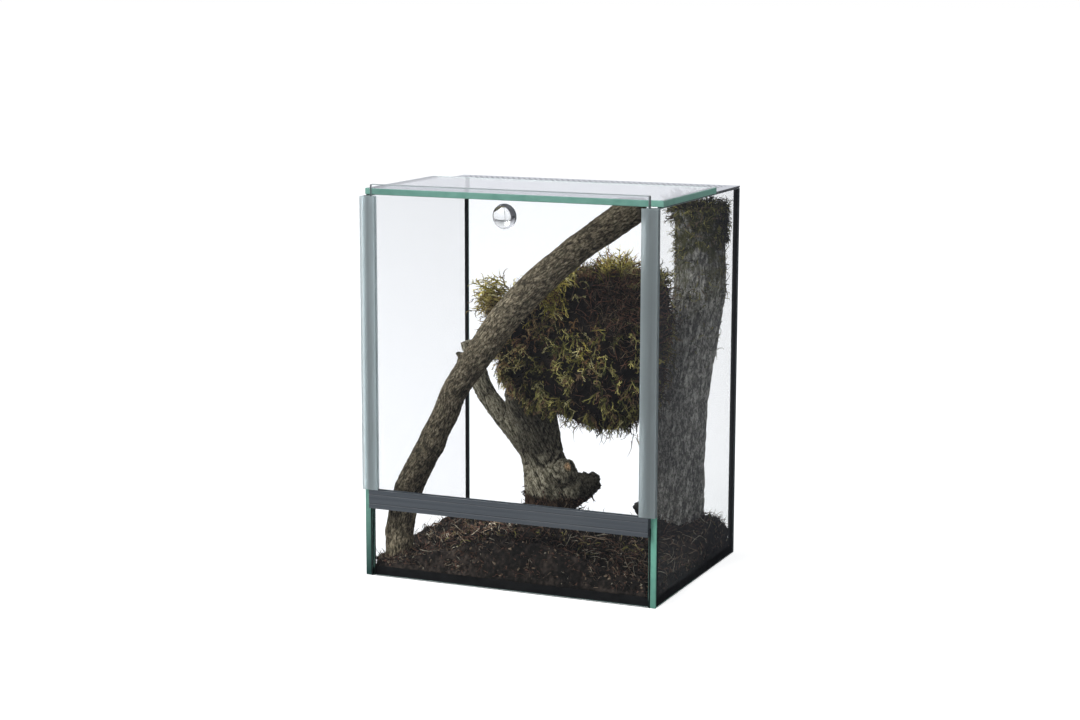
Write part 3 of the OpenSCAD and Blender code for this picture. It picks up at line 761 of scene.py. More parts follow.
TRUNK_SHAPE = [
    (1, 0.02, 1.08), (1, 0.2, 1.04), (0.8, 0.42, 1.01), (0.37, 0.58, 1),
    (0, 0.73, 1), (0, 0.86, 0.98), (0.08, 0.95, 0.97),
]
TRUNK_STEP, TRUNK_SIDES, TRUNK_DEPTH = 0.95, 210, 1.0
# A root that swells out to the left, just above the soil, as for BRANCH_KNOTS
TRUNK_KNOTS = [(22, 3.1, 6.5, 6), (25, 3.3, 3.5, 2)]
trunk_points = [
    (TRUNK_X + q[0] * TRUNK_SET[0], TRUNK_Y + q[0] * TRUNK_SET[1], upward(q[1]), (TRUNK_R - 0.6) * q[2])
    for q in TRUNK_SHAPE
]
v, f, b, grain = limb(
    trunk_points, TRUNK_STEP, TRUNK_SIDES, bark_relief(1.5, 3.2, TRUNK_DEPTH, 0.9, 31, knots=TRUNK_KNOTS),
    foot=FLOOR_TOP + 5, head=TRUNK_HEAD,
)
trunk_verts, trunk_faces = v, f
# Painted light and shade up the trunk: brighter all over and most at mid height, where the moss clump
# shades it, and darker at the top
tone = 1.65 + 0.35 * bell(v[:, 2], 140, 34) - 0.7 * np.clip((v[:, 2] - 180) / 30, 0, 1)
bark_piece("trunk_bark", (v, f), b, TRUNK_DEPTH, tone, grain, BARK_TRUNK, "upright_trunk")


def from_foot(dx, z, r):
    return (STUMP_X + dx, STUMP_Y, upward(z), STUMP_R * r - 0.4)


plain = lambda angle, s, r: (np.zeros(len(angle)), np.zeros(len(angle)))
STUMP_LIMBS = [
    ([from_foot(0, 0.05, 1.02), from_foot(0, 0.13, 0.95), from_foot(-1.5, 0.21, 0.9),
      from_foot(-6, 0.3, 0.84), from_foot(-10, 0.37, 0.86), from_foot(-14, 0.43, 0.96),
      from_foot(-14, 0.465, 0.96)],
     FLOOR_TOP + 14, STEM_TOP),
    ([from_foot(-8, 0.27, 0.5), from_foot(-27, 0.36, 0.48), from_foot(-41, 0.42, 0.4),
      from_foot(-49, 0.47, 0.38), from_foot(-59, 0.58, 0.28)], None, None),
    ([from_foot(2, 0.14, 0.6), from_foot(17, 0.19, 0.58), from_foot(30, 0.22, 0.42),
      from_foot(35, 0.225, 0.26)], None, None),
    # The callus round an old branch scar
    ([(STUMP_X + 7, STUMP_Y - 4, 62, 9), (STUMP_X + 13, STUMP_Y - 6, 64, 8.8),
      (STUMP_X + 19, STUMP_Y - 6, 66.5, 6.4)], None, None),
]
LIMB_STEP, LIMB_SIDES = 1.5, 48
FUSE_VOXEL, EASE_SHARE, EASE_TIMES = 0.6, 0.5, 8
merged = []
for points, foot, head in STUMP_LIMBS:
    v, f, _, _ = limb(points, LIMB_STEP, LIMB_SIDES, plain, foot, head)
    merged.append((v, f, np.zeros((len(v), 4))))
v, f, _ = join_parts(merged)
rough = fast_mesh("stump_rough", v, f)
remesh = rough.modifiers.new("fuse", "REMESH")
remesh.mode, remesh.voxel_size = "VOXEL", FUSE_VOXEL * MM
smooth = rough.modifiers.new("ease", "SMOOTH")
smooth.factor, smooth.iterations = EASE_SHARE, EASE_TIMES
bpy.context.view_layer.update()
shaped = rough.evaluated_get(bpy.context.evaluated_depsgraph_get()).data


def read(items, field, kind, width=1):
    values = np.zeros(len(items) * width, kind)
    items.foreach_get(field, values)
    return values.reshape(-1, width) if width > 1 else values


v = read(shaped.vertices, "co", np.float32, 3).astype(float) / MM
n = read(shaped.vertices, "normal", np.float32, 3).astype(float)
corner = read(shaped.loops, "vertex_index", np.int32)
starts = read(shaped.polygons, "loop_start", np.int32)
totals = read(shaped.polygons, "loop_total", np.int32)
f = [corner[starts[totals == k][:, None] + np.arange(k)] for k in (3, 4) if (totals == k).any()]
bpy.data.objects.remove(rough)
STUMP_DEPTH = 1.0


def leaning(v, rise):
    """The points moved so that the grain follows the stump's lean, with heights scaled by rise."""
    return np.stack([v[:, 0] + 0.55 * np.clip(v[:, 2] - 60, -20, 60), v[:, 1], v[:, 2] * rise], 1)


lean = leaning(v, 0.22) / 1.9
twist = fbm(v / 14, 3, 55)[:, None] * 2.2
ridges = 1 - 2 * np.abs(fbm(lean + twist, 3, 51, 0.55))
bump = 0.8 * ridges + 0.5 * fbm(v / 1.3, 2, 53) - 0.4
SCAR = np.array([STUMP_X + 19, STUMP_Y - 12, 70])
STUMP_KNOTS = [
    ((STUMP_X - 10, STUMP_Y - 13, upward(0.12)), 7, 1.4),
    ((STUMP_X + 24, STUMP_Y - 4, upward(0.245)), 5, 1.5),
    ((STUMP_X + 3, STUMP_Y - 14, upward(0.22)), 5, 1.5), (SCAR, 4.6, 1.2), (SCAR, 2.4, -2.4),
]
swell = 1.0 * fbm(v / 13, 2, 61)
for centre, wide, high in STUMP_KNOTS:
    d2 = ((v - np.array(centre)) ** 2).sum(1) / wide**2
    swell += high * np.exp(-d2 * d2)
# Folds of bark that bend round the callus
from_scar = (v - SCAR) * [0.7, 0.35, 1.0]
away = np.sqrt((from_scar**2).sum(1))
near = bell(away, 9, 5) * np.clip((SCAR[0] - v[:, 0]) / 8, 0, 1)
folds = np.cos(2 * np.pi * (away / 5.2 + 1.5 * fbm(v / 9, 3, 65)))
bump = bump * (1 - 0.35 * near) + 0.7 * near * folds
stub = np.clip((v[:, 0] - STUMP_X - 18) / 8, 0, 1) * (v[:, 2] < 84)
chips = 2.4 * fbm(v / 3.0, 3, 69) * stub
v = v + n * (STUMP_DEPTH * bump + swell + chips)[:, None]
# The stub's end is broken off square and splintered
STUB_END = STUMP_X + 37
splinters = fbm(v * [0, 1, 1] / 2.6, 2, 77)
v[:, 0] = np.minimum(v[:, 0], STUB_END + 2.2 * splinters)
v[:, 2] = np.clip(v[:, 2], FLOOR_TOP + 14, None)
# Painted shade darkens the stem and the crown under the moss, and painted light brightens the foot; the
# stub is darker as well
stem = bell(v[:, 0], STUMP_X - 6, 15, 4) * np.clip((v[:, 2] - 66) / 12, 0, 1)
foot_painted_light = bell(v[:, 0], STUMP_X - 4, 13) * bell(v[:, 2], 58, 13)
crown_painted_shade = np.clip((v[:, 2] - 94) / 12, 0, 1) * np.clip((v[:, 0] - STUMP_X + 36) / 6, 0, 1)
tone = (1 - 0.5 * stem) * (1 - 0.5 * crown_painted_shade) * (1 - 0.72 * stub) * (1 + 0.95 * foot_painted_light)
tone = np.repeat(tone[:, None], 4, 1)
# Soil creeps up the foot, and the scar in the callus is bare brown wood
soiled = np.clip((50 + 3 * fbm(v / 6, 2, 79) - v[:, 2]) / 3, 0, 1)[:, None]
tone = tone * (1 - soiled) + np.array([0.3, 0.21, 0.18, 1.0]) * soiled
spot = np.exp(-((((v - SCAR) ** 2).sum(1) / 8) ** 2))[:, None]
tone = tone * (1 + np.array([2.6, 1.5, 0.8, 0.0]) * spot)
stump_verts, stump_faces = v, f
grain, bump = leaning(v, 1) * MM, STUMP_DEPTH * bump
bark_piece("stump_bark", (v, f), bump, STUMP_DEPTH, tone, grain, BARK_STUMP, "forked_stump")


# ---------------------------------------------------------------- soil
def hill(x, y, fx, fy, rx, ry):
    return mound(x / IN_X, y / IN_Y, fx, fy, rx, ry)


def soil_height(x, y):
    return (
        FLOOR_TOP + SOIL_EDGE - 5
        + SOIL_RIDGE * hill(x, y, 0.1, -0.9, 0.75, 0.8)
        + 0.8 * SOIL_RIDGE * hill(x, y, 0, 0.1, 0.5, 0.7)
        + 0.85 * SOIL_RIDGE * hill(x, y, 0.7, 0.65, 0.28, 0.4)
        + 6 * hill(x, y, -0.6, 0.7, 0.7, 0.9)
        + 1.2 * np.sin(np.radians(7 * x + 40)) * np.cos(np.radians(9 * y))
    )


SOIL_STEP = 0.85
SOIL_GAP = 0.3
half_x, half_y = IN_X - SOIL_GAP, IN_Y - SOIL_GAP
nx, ny = int(2 * half_x / SOIL_STEP), int(2 * half_y / SOIL_STEP)
gx, gy = np.meshgrid(np.linspace(-half_x, half_x, nx + 1), np.linspace(-half_y, half_y, ny + 1))
px, py = gx.ravel(), gy.ravel()
near_x, near_y = half_x - np.abs(px), half_y - np.abs(py)
z = np.maximum(soil_height(px, py), FLOOR_TOP + FILLET + 2.2)
flat = np.stack([px, py, np.zeros(len(px))], 1)
lump = 3.0 * fbm(flat / 11, 3, 71) + 2.2 * fbm(flat / 4.2, 3, 73) + 0.9 * np.abs(fbm(flat / 1.9, 2, 75))
mounds = 13 * mound(px, py, 93, 46, 14, 24) + 6 * mound(px, py, 62, 10, 11, 16)
z = np.maximum(z + lump + mounds, FLOOR_TOP + FILLET + 1.2)
top = np.stack([px, py, z], 1)
# The edges that stand against the corner fillets are drawn in
CORNER, DRAWN_IN = 2.6, 0.9
in_corner = (near_x < CORNER) & (near_y < CORNER)
pull = np.where(in_corner, CORNER - (near_x + near_y) / 2, 0)
top[:, 0] -= np.sign(px) * pull * DRAWN_IN
top[:, 1] -= np.sign(py) * pull * DRAWN_IN
rows, cols = ny + 1, nx + 1
i, j = np.meshgrid(np.arange(ny), np.arange(nx), indexing="ij")
a = (i * cols + j).ravel()
quads = [np.stack([a, a + 1, a + cols + 1, a + cols], 1)]
rim = np.concatenate([
    np.arange(nx), nx + cols * np.arange(ny),
    cols * ny + np.arange(nx, 0, -1), cols * np.arange(ny, 0, -1),
])
m = len(rim)
LEVELS = 22
wall = []
rim_top = top[rim]
on_edge = np.stack([near_x[rim], near_y[rim]], 1) < 0.01
outward = np.sign(rim_top[:, :2]) * on_edge
for k in range(1, LEVELS + 1):
    share = k / LEVELS
    q = rim_top.copy()
    q[:, 2] = rim_top[:, 2] * (1 - share) + FLOOR_TOP * share
    crumb = 1.3 * np.abs(fbm(q / 2.4, 3, 81)) + 1.6 * np.clip(fbm(q / 7.0, 2, 83), 0, 1)
    crumb *= np.clip((q[:, 2] - FLOOR_TOP - FILLET - 0.3) / 3, 0, 1)
    tuck = np.clip((FLOOR_TOP + FILLET - q[:, 2]) / FILLET, 0, 1) * FILLET * 0.6
    q[:, :2] -= outward * (crumb + tuck)[:, None]
    wall.append(q)
verts = np.concatenate([top] + wall)
base = len(top)
prev = rim
ring = np.arange(m)
for k in range(LEVELS):
    this = base + k * m + ring
    quads.append(np.stack([prev, this, np.roll(this, -1), np.roll(prev, -1)], 1))
    prev = this
bottom = np.array([[0, 0, FLOOR_TOP]])
verts = np.concatenate([verts, bottom])
fan = np.stack([prev, np.full(m, len(verts) - 1), np.roll(prev, -1)], 1)
warm = fbm(verts / 9, 3, 91)[:, None]
speck = fbm(verts / 1.5, 3, 93)[:, None]
dark_soil, brown_soil = np.array([0.009, 0.0078, 0.0072]), np.array([0.07, 0.052, 0.043])
level = np.clip(0.28 + 0.5 * warm + 0.8 * speck, 0, 1)
tint = np.concatenate([dark_soil + (brown_soil - dark_soil) * level**1.5, np.ones((len(verts), 1))], 1)
# Painted light: paler on the slope behind the leaning branch's foot, where the light falls
tint[:, :3] *= 1 + 2.8 * mound(verts[:, :1], verts[:, 1:2], -40, -32, 30, 28)
faces = [np.concatenate(quads)[:, ::-1], fan[:, ::-1]]
soil = fast_mesh("soil_bed", verts, faces, point_data={"tint": tint})
give(soil, SOIL_MAT, "tank", ["substrate"])


def soil_at(x, y):
    """Height of the visible soil by the nearest grid point."""
    ii = np.clip(np.round((y + half_y) / (2 * half_y) * ny).astype(int), 0, ny)
    jj = np.clip(np.round((x + half_x) / (2 * half_x) * nx).astype(int), 0, nx)
    return z[ii * cols + jj]


def on_soil(x, y, lift):
    return np.stack([x, y, soil_at(x, y) + lift], 1)


def tints(choices, shares, count, rng, vary=0.25):
    """A colour for each strand, picked from a few and varied in brightness."""
    pick = rng.choice(len(choices), count, p=np.array(shares) / np.sum(shares))
    colour = np.array(choices)[pick] * rng.uniform(1 - vary, 1 + vary, (count, 1))
    return np.concatenate([colour, np.ones((count, 1))], 1)


def keep_inside(verts, margin=0.8, top=LID_Z - 0.6):
    """Holds loose strands inside the glass."""
    verts[:, 0] = np.clip(verts[:, 0], -IN_X + margin, IN_X - margin)
    verts[:, 1] = np.clip(verts[:, 1], -IN_Y + margin, IN_Y - margin)
    verts[:, 2] = np.clip(verts[:, 2], FLOOR_TOP + 1.5, top)
    return verts


def sown(kind, at, heading, long, thick, hues, rng, *shape, **more):
    """Strands or sprays, with lengths drawn from long, radii from thick, and hues as colours and shares."""
    n = len(at)
    long, thick = rng.uniform(*long, n), rng.uniform(*thick, n)
    return kind(at, heading, long, thick, tints(*hues, n, rng), rng, *shape, **more)


def tinted_piece(name, parts, material, slot, replaces=(), **room):
    """Loose strands as one finished piece, held inside the glass."""
    v, f, c = join_parts(parts)
    piece = fast_mesh(name, keep_inside(v, **room), f, smooth=False, point_data={"tint": c})
    give(piece, material, "tank", replaces)


RUST, TAN = (0.15, 0.082, 0.06), (0.26, 0.19, 0.135)
BEIGE, UMBER = (0.5, 0.44, 0.35), (0.035, 0.027, 0.022)
OLIVE, YELLOW = (0.26, 0.235, 0.085), (0.55, 0.49, 0.17)
DEEP_GREEN, STRAW = (0.08, 0.082, 0.034), (0.5, 0.42, 0.22)
EARTH = (0.014, 0.011, 0.009)
SOIL_STRANDS, SOIL_CRUMBS, PRESSED_BITS, TWIGS, STUMP_CRUMBS = 5200, 5200, 5600, 46, 700
rng = np.random.default_rng(101)
count = SOIL_STRANDS
x, y = rng.uniform(-half_x + 2, half_x - 2, count), rng.uniform(-half_y + 2, half_y - 2, count)
heading = any_way(count, rng) * [1, 1, 0.4] + [0, 0, 0.2]
# Painted light: paler on the slope behind the leaning branch's foot, where the light falls
hue = tints([RUST, TAN, BEIGE, UMBER, EARTH, OLIVE], [0.28, 0.2, 0.09, 0.24, 0.16, 0.03], count, rng)
hue[:, :3] *= 1 + 4.0 * mound(x, y, -40, -32, 32, 30)[:, None]
litter = [strands(
    on_soil(x, y, -0.3), heading, rng.uniform(3, 14, count), rng.uniform(0.16, 0.42, count), hue, rng,
    segments=4, curl=1.1, droop=0.3,
)]
# Crumbs of soil, as short fat bodies
count = SOIL_CRUMBS
x, y = rng.uniform(-half_x + 1.5, half_x - 1.5, count), rng.uniform(-half_y + 1.5, half_y - 1.5, count)
litter.append(sown(
    strands, on_soil(x, y, -0.3), any_way(count, rng), (1.2, 3.6), (0.4, 1.4),
    ([UMBER, RUST, EARTH, TAN], [0.42, 0.12, 0.38, 0.08]), rng, segments=3, curl=0.6,
))
tinted_piece("soil_litter", litter, SOIL_MAT, "soil", margin=0.45)
# Fibres and crumbs pressed against the panes, thickest at the front
count = PRESSED_BITS
side = rng.choice(4, count, p=[0.24, 0.13, 0.13, 0.5])
t = rng.uniform(-1, 1, count)
depth_in = rng.uniform(0.5, 2.2, count)
x = np.where(side == 0, half_x - depth_in, np.where(side == 1, -half_x + depth_in, t * (half_x - 3)))
y = np.where(side == 2, half_y - depth_in, np.where(side == 3, -half_y + depth_in, t * (half_y - 3)))
high = soil_at(x, y) - 0.5
zz = FLOOR_TOP + 2.5 + rng.random(count) ** 0.8 * np.maximum(high - FLOOR_TOP - 2.5, 0.5)
heading = any_way(count, rng) * np.where((side < 2)[:, None], [0.08, 1, 0.7], [1, 0.08, 0.7])
thin = rng.random(count) < 0.6
edge_fibres = strands(
    np.stack([x, y, zz], 1), heading,
    np.where(thin, rng.uniform(3, 10, count), rng.uniform(1, 3, count)),
    np.where(thin, rng.uniform(0.14, 0.34, count), rng.uniform(0.4, 1.1, count)),
    tints([RUST, TAN, BEIGE, UMBER, EARTH], [0.32, 0.2, 0.05, 0.25, 0.18], count, rng),
    rng, segments=4, curl=0.9, droop=0.0,
)
tinted_piece("soil_edge_fibres", [edge_fibres], SOIL_MAT, "soil", margin=0.4)

# A few larger things lying on the soil: twigs, bark chips and scraps of green moss
rng = np.random.default_rng(151)
count = TWIGS
x, y = rng.uniform(-half_x + 8, half_x - 8, count), rng.uniform(-half_y + 8, half_y - 8, count)
heading = any_way(count, rng) * [1, 1, 0.15] + [0, 0, 0.1]
scraps = [sown(
    strands, on_soil(x, y, 0.3), heading, (9, 22), (0.6, 1.3),
    ([UMBER, TAN, RUST], [0.5, 0.25, 0.25]), rng, segments=6, curl=0.4, droop=0.1,
)]
# Each patch of scraps: its centre, how many and how wide
SCRAPS = [
    (18, -52, 22, 8), (-20, -64, 12, 6), (62, -12, 26, 10),
    (40, -40, 14, 8), (-50, -30, 24, 8), (30, 30, 30, 9),
]
for cx, cy, count, wide in SCRAPS:
    x, y = cx + rng.normal(scale=wide, size=count), cy + rng.normal(scale=wide * 0.6, size=count)
    scraps.append(sown(
        strands, on_soil(x, y, 0), any_way(count, rng) + [0, 0, 0.6], (4, 9), (0.22, 0.4),
        ([YELLOW, OLIVE, STRAW, TAN], [0.15, 0.25, 0.3, 0.3]), rng,
        segments=4, curl=1.0, droop=0.4, leaves=5, leaf=1.8,
    ))


def stump_foot(p, n):
    return np.clip((53 + 4 * fbm(p / 6, 2, 79) - p[:, 2]) / 4, 0, 1)


# Crumbs and fibres that lie against the stump's foot
count = STUMP_CRUMBS
at, out = sample_surface(stump_verts, stump_faces, count, rng, stump_foot)
scraps.append(sown(
    strands, at - 0.3 * out, out + 0.8 * any_way(count, rng), (1.5, 5), (0.2, 0.8),
    ([RUST, TAN, UMBER, EARTH], [0.35, 0.25, 0.25, 0.15]), rng, segments=3, curl=0.8,
))
tinted_piece("soil_twigs", scraps, SOIL_MAT, "soil")

# ---------------------------------------------------------------- moss
MOSS_X, MOSS_Y, MOSS_Z = across(0.62, 0), (MOSS_Y0 + MOSS_Y1) / 2, upward(0.605)
MOSS_W, MOSS_H, MOSS_D = 0.57 * IN_X, 0.205 * (LID_Z - FLOOR_TOP), (MOSS_Y1 - MOSS_Y0) / 2
MOSS_TILT, MOSS_FULL, MOSS_WIDEN = math.radians(5), 0.62, 0.26


def moss_core(slices, stacks):
    """The clump's core, dark as painted shade: a squarish wedge with hollows, as points and faces."""
    i, j = np.meshgrid(np.arange(1, stacks), np.arange(slices), indexing="ij")
    a, b = 2 * np.pi * j.ravel() / slices, np.pi * i.ravel() / stacks
    full = lambda q: np.sign(q) * np.abs(q) ** MOSS_FULL
    wide = full(np.cos(a)) * full(np.sin(b))
    p = np.stack([
        MOSS_W * wide, MOSS_D * full(np.sin(a)) * full(np.sin(b)),
        MOSS_H * (1 + MOSS_WIDEN * wide) * full(np.cos(b)),
    ], 1)
    p = np.concatenate([p, [[0, 0, MOSS_H], [0, 0, -MOSS_H]]]) * 0.94
    cosine, sine = math.cos(MOSS_TILT), math.sin(MOSS_TILT)
    x, zz = p[:, 0] * cosine + p[:, 2] * sine, -p[:, 0] * sine + p[:, 2] * cosine
    p = np.stack([x, p[:, 1], zz], 1)
    out = unit(p)
    p = p + out * (3.4 * fbm(p / 15, 3, 111) + 2.0 * fbm(p / 5, 3, 113) - 1.0)[:, None]
    p += [MOSS_X, MOSS_Y, MOSS_Z]
    return p, tube_faces(stacks - 1, slices)


CORE_SLICES, CORE_STACKS = 170, 100
core_verts, core_faces = moss_core(CORE_SLICES, CORE_STACKS)
warm = fbm(core_verts / 8, 3, 121)[:, None]
# Painted shade: the core is near black, for the shade deep in the clump, with some warm brown of its roots
core_hue = np.array([0.009, 0.007, 0.006]) * (1 + 0.6 * warm)
core_hue += np.array([0.016, 0.009, 0.006]) * np.clip(warm, 0, 1)
tint = np.concatenate([np.clip(core_hue, 0, 1), np.ones((len(core_verts), 1))], 1)
core = fast_mesh("moss_root_and_shade_core", core_verts, core_faces, point_data={"tint": tint})
give(core, CORE_MAT, "tank", ["moss_clump"])


SPRAY_LEAF = 1.8


def sprays(base, heading, length, radius, tint, rng, side_stems, curl, droop):
    """Branched sprigs: a curling main stem with leafy side stems to both sides of it."""
    n = len(base)
    points, ways = grow(base, heading, length, curl, droop, rng, 5)
    parts = [leafy(points, ways, radius, tint, rng, 7, SPRAY_LEAF)]
    flat = unit(np.cross(ways[0], any_way(n, rng)))
    for k in range(side_stems):
        f = 5 * (0.2 + 0.7 * (k + 0.5) / side_stems)
        i = int(f)
        at = points[i] * (1 - f + i) + points[i + 1] * (f - i)
        side = flat if k % 2 else -flat
        out = 0.8 * ways[i] + 0.75 * side + 0.25 * any_way(n, rng)
        short = length * (0.52 - 0.26 * f / 5) * rng.uniform(0.6, 1.25, n)
        q, w = grow(at, out, short, curl, droop, rng, 3)
        lit = rng.uniform(0.75, 1.2)
        parts.append(leafy(q, w, radius * 0.8, tint * [lit, lit, lit, 1], rng, 5, SPRAY_LEAF * 0.85))
    return join_parts(parts)


def stems_on_core(centre, spread, count, hues, size, lift, droop, up, rng):
    """Sprays rooted on the core about one place. Heading mixes the surface's own with chance and up."""
    def near(p, n):
        ragged = np.clip(2 * fbm(p / 5, 2, 137) + 0.1, 0, 1) ** 1.5
        return np.exp(-((p - np.array(centre, float)) ** 2).sum(1) / spread**2) * ragged

    at, out = sample_surface(core_verts, core_faces, count, rng, near)
    heading = unit(lift * out + 0.8 * unit(any_way(count, rng)) + np.array([0, 0, up]))
    return sprays(
        at - 0.8 * out, heading, 1.15 * rng.uniform(*size, count), rng.uniform(0.36, 0.6, count),
        tints(*hues, count, rng, 0.45), rng, 3, max(1.5 - 0.6 * up, 0.5), droop,
    )


# Colours of the moss, with the share of each
GOLD = ([(0.9, 0.76, 0.24), (0.52, 0.45, 0.11), (1.0, 0.88, 0.46), (0.34, 0.2, 0.09)],
        [0.4, 0.26, 0.14, 0.2])
FRESH = ([(0.72, 0.63, 0.24), (0.34, 0.31, 0.1), (0.1, 0.105, 0.04), (0.34, 0.22, 0.13)],
         [0.24, 0.3, 0.24, 0.22])
DULL = ([(0.36, 0.31, 0.1), (0.12, 0.115, 0.038), (0.26, 0.16, 0.085), (0.06, 0.042, 0.024),
         (0.6, 0.53, 0.26)],
        [0.28, 0.26, 0.16, 0.18, 0.12])
BROWN = ([(0.32, 0.21, 0.12), (0.26, 0.22, 0.09), (0.2, 0.1, 0.06), (0.5, 0.4, 0.22),
          (0.06, 0.04, 0.026)],
         [0.3, 0.24, 0.18, 0.12, 0.16])
# Brown moss painted brighter: painted light on the clump's left and middle, where the branch shades it from
# the lamp
BROWN_PAINTED_LIGHT = ([(1.0, 0.86, 0.42), (0.72, 0.54, 0.28), (0.46, 0.26, 0.15), (0.2, 0.18, 0.06)],
              [0.34, 0.28, 0.2, 0.18])
# Patches: centre, spread, sprays, colours, lengths, lift off the surface, droop, upward pull
MOSS_PATCHES = [
    ((18, -44, 186), 8, 120, GOLD, (8, 15), 1.2, 0.7, 0.4),
    ((21, -43, 194), 6, 34, GOLD, (9, 15), 0.9, 0.7, 0.8),
    ((-8, -42, 184), 9, 30, GOLD, (7, 12), 0.8, 0.3, 0.2),
    ((4, -43, 168), 10, 44, BROWN_PAINTED_LIGHT, (6, 11), 0.7, 0.7, 0.0),
    ((20, -44, 174), 11, 34, BROWN, (6, 12), 0.6, 0.7, 0.0),
    ((-14, -38, 148), 13, 76, BROWN_PAINTED_LIGHT, (6, 11), 0.7, 0.8, 0.0),
    ((-20, -35, 130), 11, 70, BROWN_PAINTED_LIGHT, (6, 11), 0.7, 1.1, 0.0),
    ((-2, -40, 138), 13, 34, DULL, (6, 11), 0.6, 0.7, 0.0),
    ((26, -45, 160), 10, 46, FRESH, (7, 13), 0.7, 0.8, 0.1),
    ((42, -45, 152), 15, 44, GOLD, (6, 12), 0.7, 0.9, 0.0),
    ((30, -44, 138), 11, 26, FRESH, (6, 12), 0.7, 0.9, 0.0),
    ((73, -34, 100), 8, 44, DULL, (8, 13), 0.9, 1.8, 0.0),
    ((64, -42, 150), 12, 50, FRESH, (6, 12), 0.7, 0.8, 0.0),
    ((54, -44, 128), 13, 30, FRESH, (6, 12), 0.7, 1.0, 0.0),
    ((10, -40, 112), 11, 50, FRESH, (5, 11), 0.7, 1.3, 0.0),
    ((28, -40, 108), 11, 40, DULL, (6, 11), 0.7, 1.3, 0.0),
    ((46, -40, 104), 12, 40, DULL, (6, 12), 0.6, 1.2, 0.0),
    ((66, -40, 118), 13, 44, FRESH, (6, 11), 0.7, 1.1, 0.0),
    ((4, -42, 128), 12, 34, DULL, (5, 10), 0.6, 0.9, 0.0),
    ((54, -28, 204), 4.5, 60, GOLD, (11, 18), 0.7, 0.0, 2.2),
    ((36, -34, 203), 7, 26, BROWN, (5, 9), 0.7, 0.1, 0.7),
    ((66, -24, 202), 8, 26, BROWN, (6, 11), 0.7, 0.0, 1.0),
    ((77, -4, 192), 12, 50, FRESH, (7, 13), 0.9, 0.0, 0.6),
    ((77, -10, 160), 14, 40, DULL, (6, 11), 0.8, 0.5, 0.0),
    ((30, 0, 204), 30, 90, DULL, (6, 12), 0.8, 0.2, 0.4),
    ((-20, 0, 178), 22, 90, FRESH, (6, 12), 0.8, 0.4, 0.3),
    ((-32, -6, 140), 26, 90, DULL, (6, 12), 0.8, 0.8, 0.0),
    ((20, 30, 150), 40, 260, DULL, (6, 12), 0.8, 0.7, 0.0),
    ((66, 16, 130), 34, 120, DULL, (6, 12), 0.8, 0.8, 0.0),
]
rng = np.random.default_rng(202)
moss_sets = [stems_on_core(*patch, rng) for patch in MOSS_PATCHES]
# The loose tuft that hangs out behind the leaning branch: gold above, brown below
TUFT_FOOT, TUFT_STEMS = np.array([-22.0, -34.0, 177.0]), 160
spread = any_way(TUFT_STEMS, rng) * [4, 4, 6]
low = np.clip(0.62 - spread[:, 2] / 12, 0, 1)
left, back = -1 + 0.35 * rng.normal(size=TUFT_STEMS), 0.5 * rng.normal(size=TUFT_STEMS)
heading = np.stack([left, back, 0.55 - 1.1 * low], 1)
hue = tints(*GOLD, TUFT_STEMS, rng, 0.3)
low = 0.85 * low[:, None]
hue[:, :3] = hue[:, :3] * (1 - low) + np.array([0.3, 0.19, 0.12]) * low
long, thick = rng.uniform(7, 18, TUFT_STEMS), rng.uniform(0.38, 0.6, TUFT_STEMS)
moss_sets.append(sprays(TUFT_FOOT + spread, heading, long, thick, hue, rng, 4, 0.9, 0.25))
for name, chosen in (
    ("front_upper", moss_sets[:9] + moss_sets[19:22]), ("front_lower", moss_sets[9:19]),
    ("tuft", moss_sets[29:]), ("sides", moss_sets[22:27]), ("rear", moss_sets[27:29]),
):
    tinted_piece("moss_" + name, chosen, MOSS_MAT, "moss")


def bare(p, n):
    """Where the root ball shows: high on the right of the front, and thinly elsewhere."""
    ball = np.exp(-((p - np.array([60, -38, 184])) ** 2 / np.array([22, 22, 20]) ** 2).sum(1))
    hollow = np.exp(-((p - np.array([37, -38, 187])) ** 2).sum(1) / 11**2)
    return (0.1 + ball) * (1 - 0.92 * hollow)


ROOT_FIBRES, STALKS, HANGING_EACH = 5200, 3000, 4
# Fine dark roots and reddish fibres over the core, thickest on its bare part
count = ROOT_FIBRES
at, out = sample_surface(core_verts, core_faces, count, rng, bare)
heading = unit(out * 0.25 + unit(any_way(count, rng)) * [1, 0.6, 1] + [0.4, 0, 0.7])
ROOTS = ([UMBER, (0.3, 0.15, 0.1), (0.13, 0.09, 0.065), (0.38, 0.28, 0.18)], [0.36, 0.26, 0.26, 0.12])
roots = [sown(strands, at - 0.4 * out, heading, (4, 14), (0.14, 0.32), ROOTS, rng, segments=4, curl=0.8)]
# Short dark stalks under the sprays all over
count = STALKS
at, out = sample_surface(core_verts, core_faces, count, rng)
roots.append(sown(
    strands, at - 0.4 * out, unit(out + 0.9 * unit(any_way(count, rng))), (3, 7), (0.2, 0.45),
    ([EARTH, UMBER, (0.05, 0.042, 0.02)], [0.3, 0.35, 0.35]), rng, segments=3, curl=0.9, droop=0.5,
))
# Thin strands that hang below the clump
HANG_FROM = [
    (18, -34, 108), (26, -36, 106), (32, -36, 104), (48, -34, 100), (52, -34, 98), (68, -28, 98),
    (72, -26, 97),
]
at = np.array(HANG_FROM, float).repeat(HANGING_EACH, 0)
at += rng.normal(scale=1.6, size=at.shape)
roots.append(sown(
    strands, at, any_way(len(at), rng) * 0.4 + [0, 0, -1], (6, 13), (0.2, 0.34),
    ([(0.3, 0.24, 0.1), (0.2, 0.12, 0.07), UMBER], [0.4, 0.3, 0.3]), rng,
    segments=5, curl=0.9, droop=0.6, leaves=6, leaf=1.4,
))
tinted_piece("moss_roots", roots, MOSS_MAT, "moss")

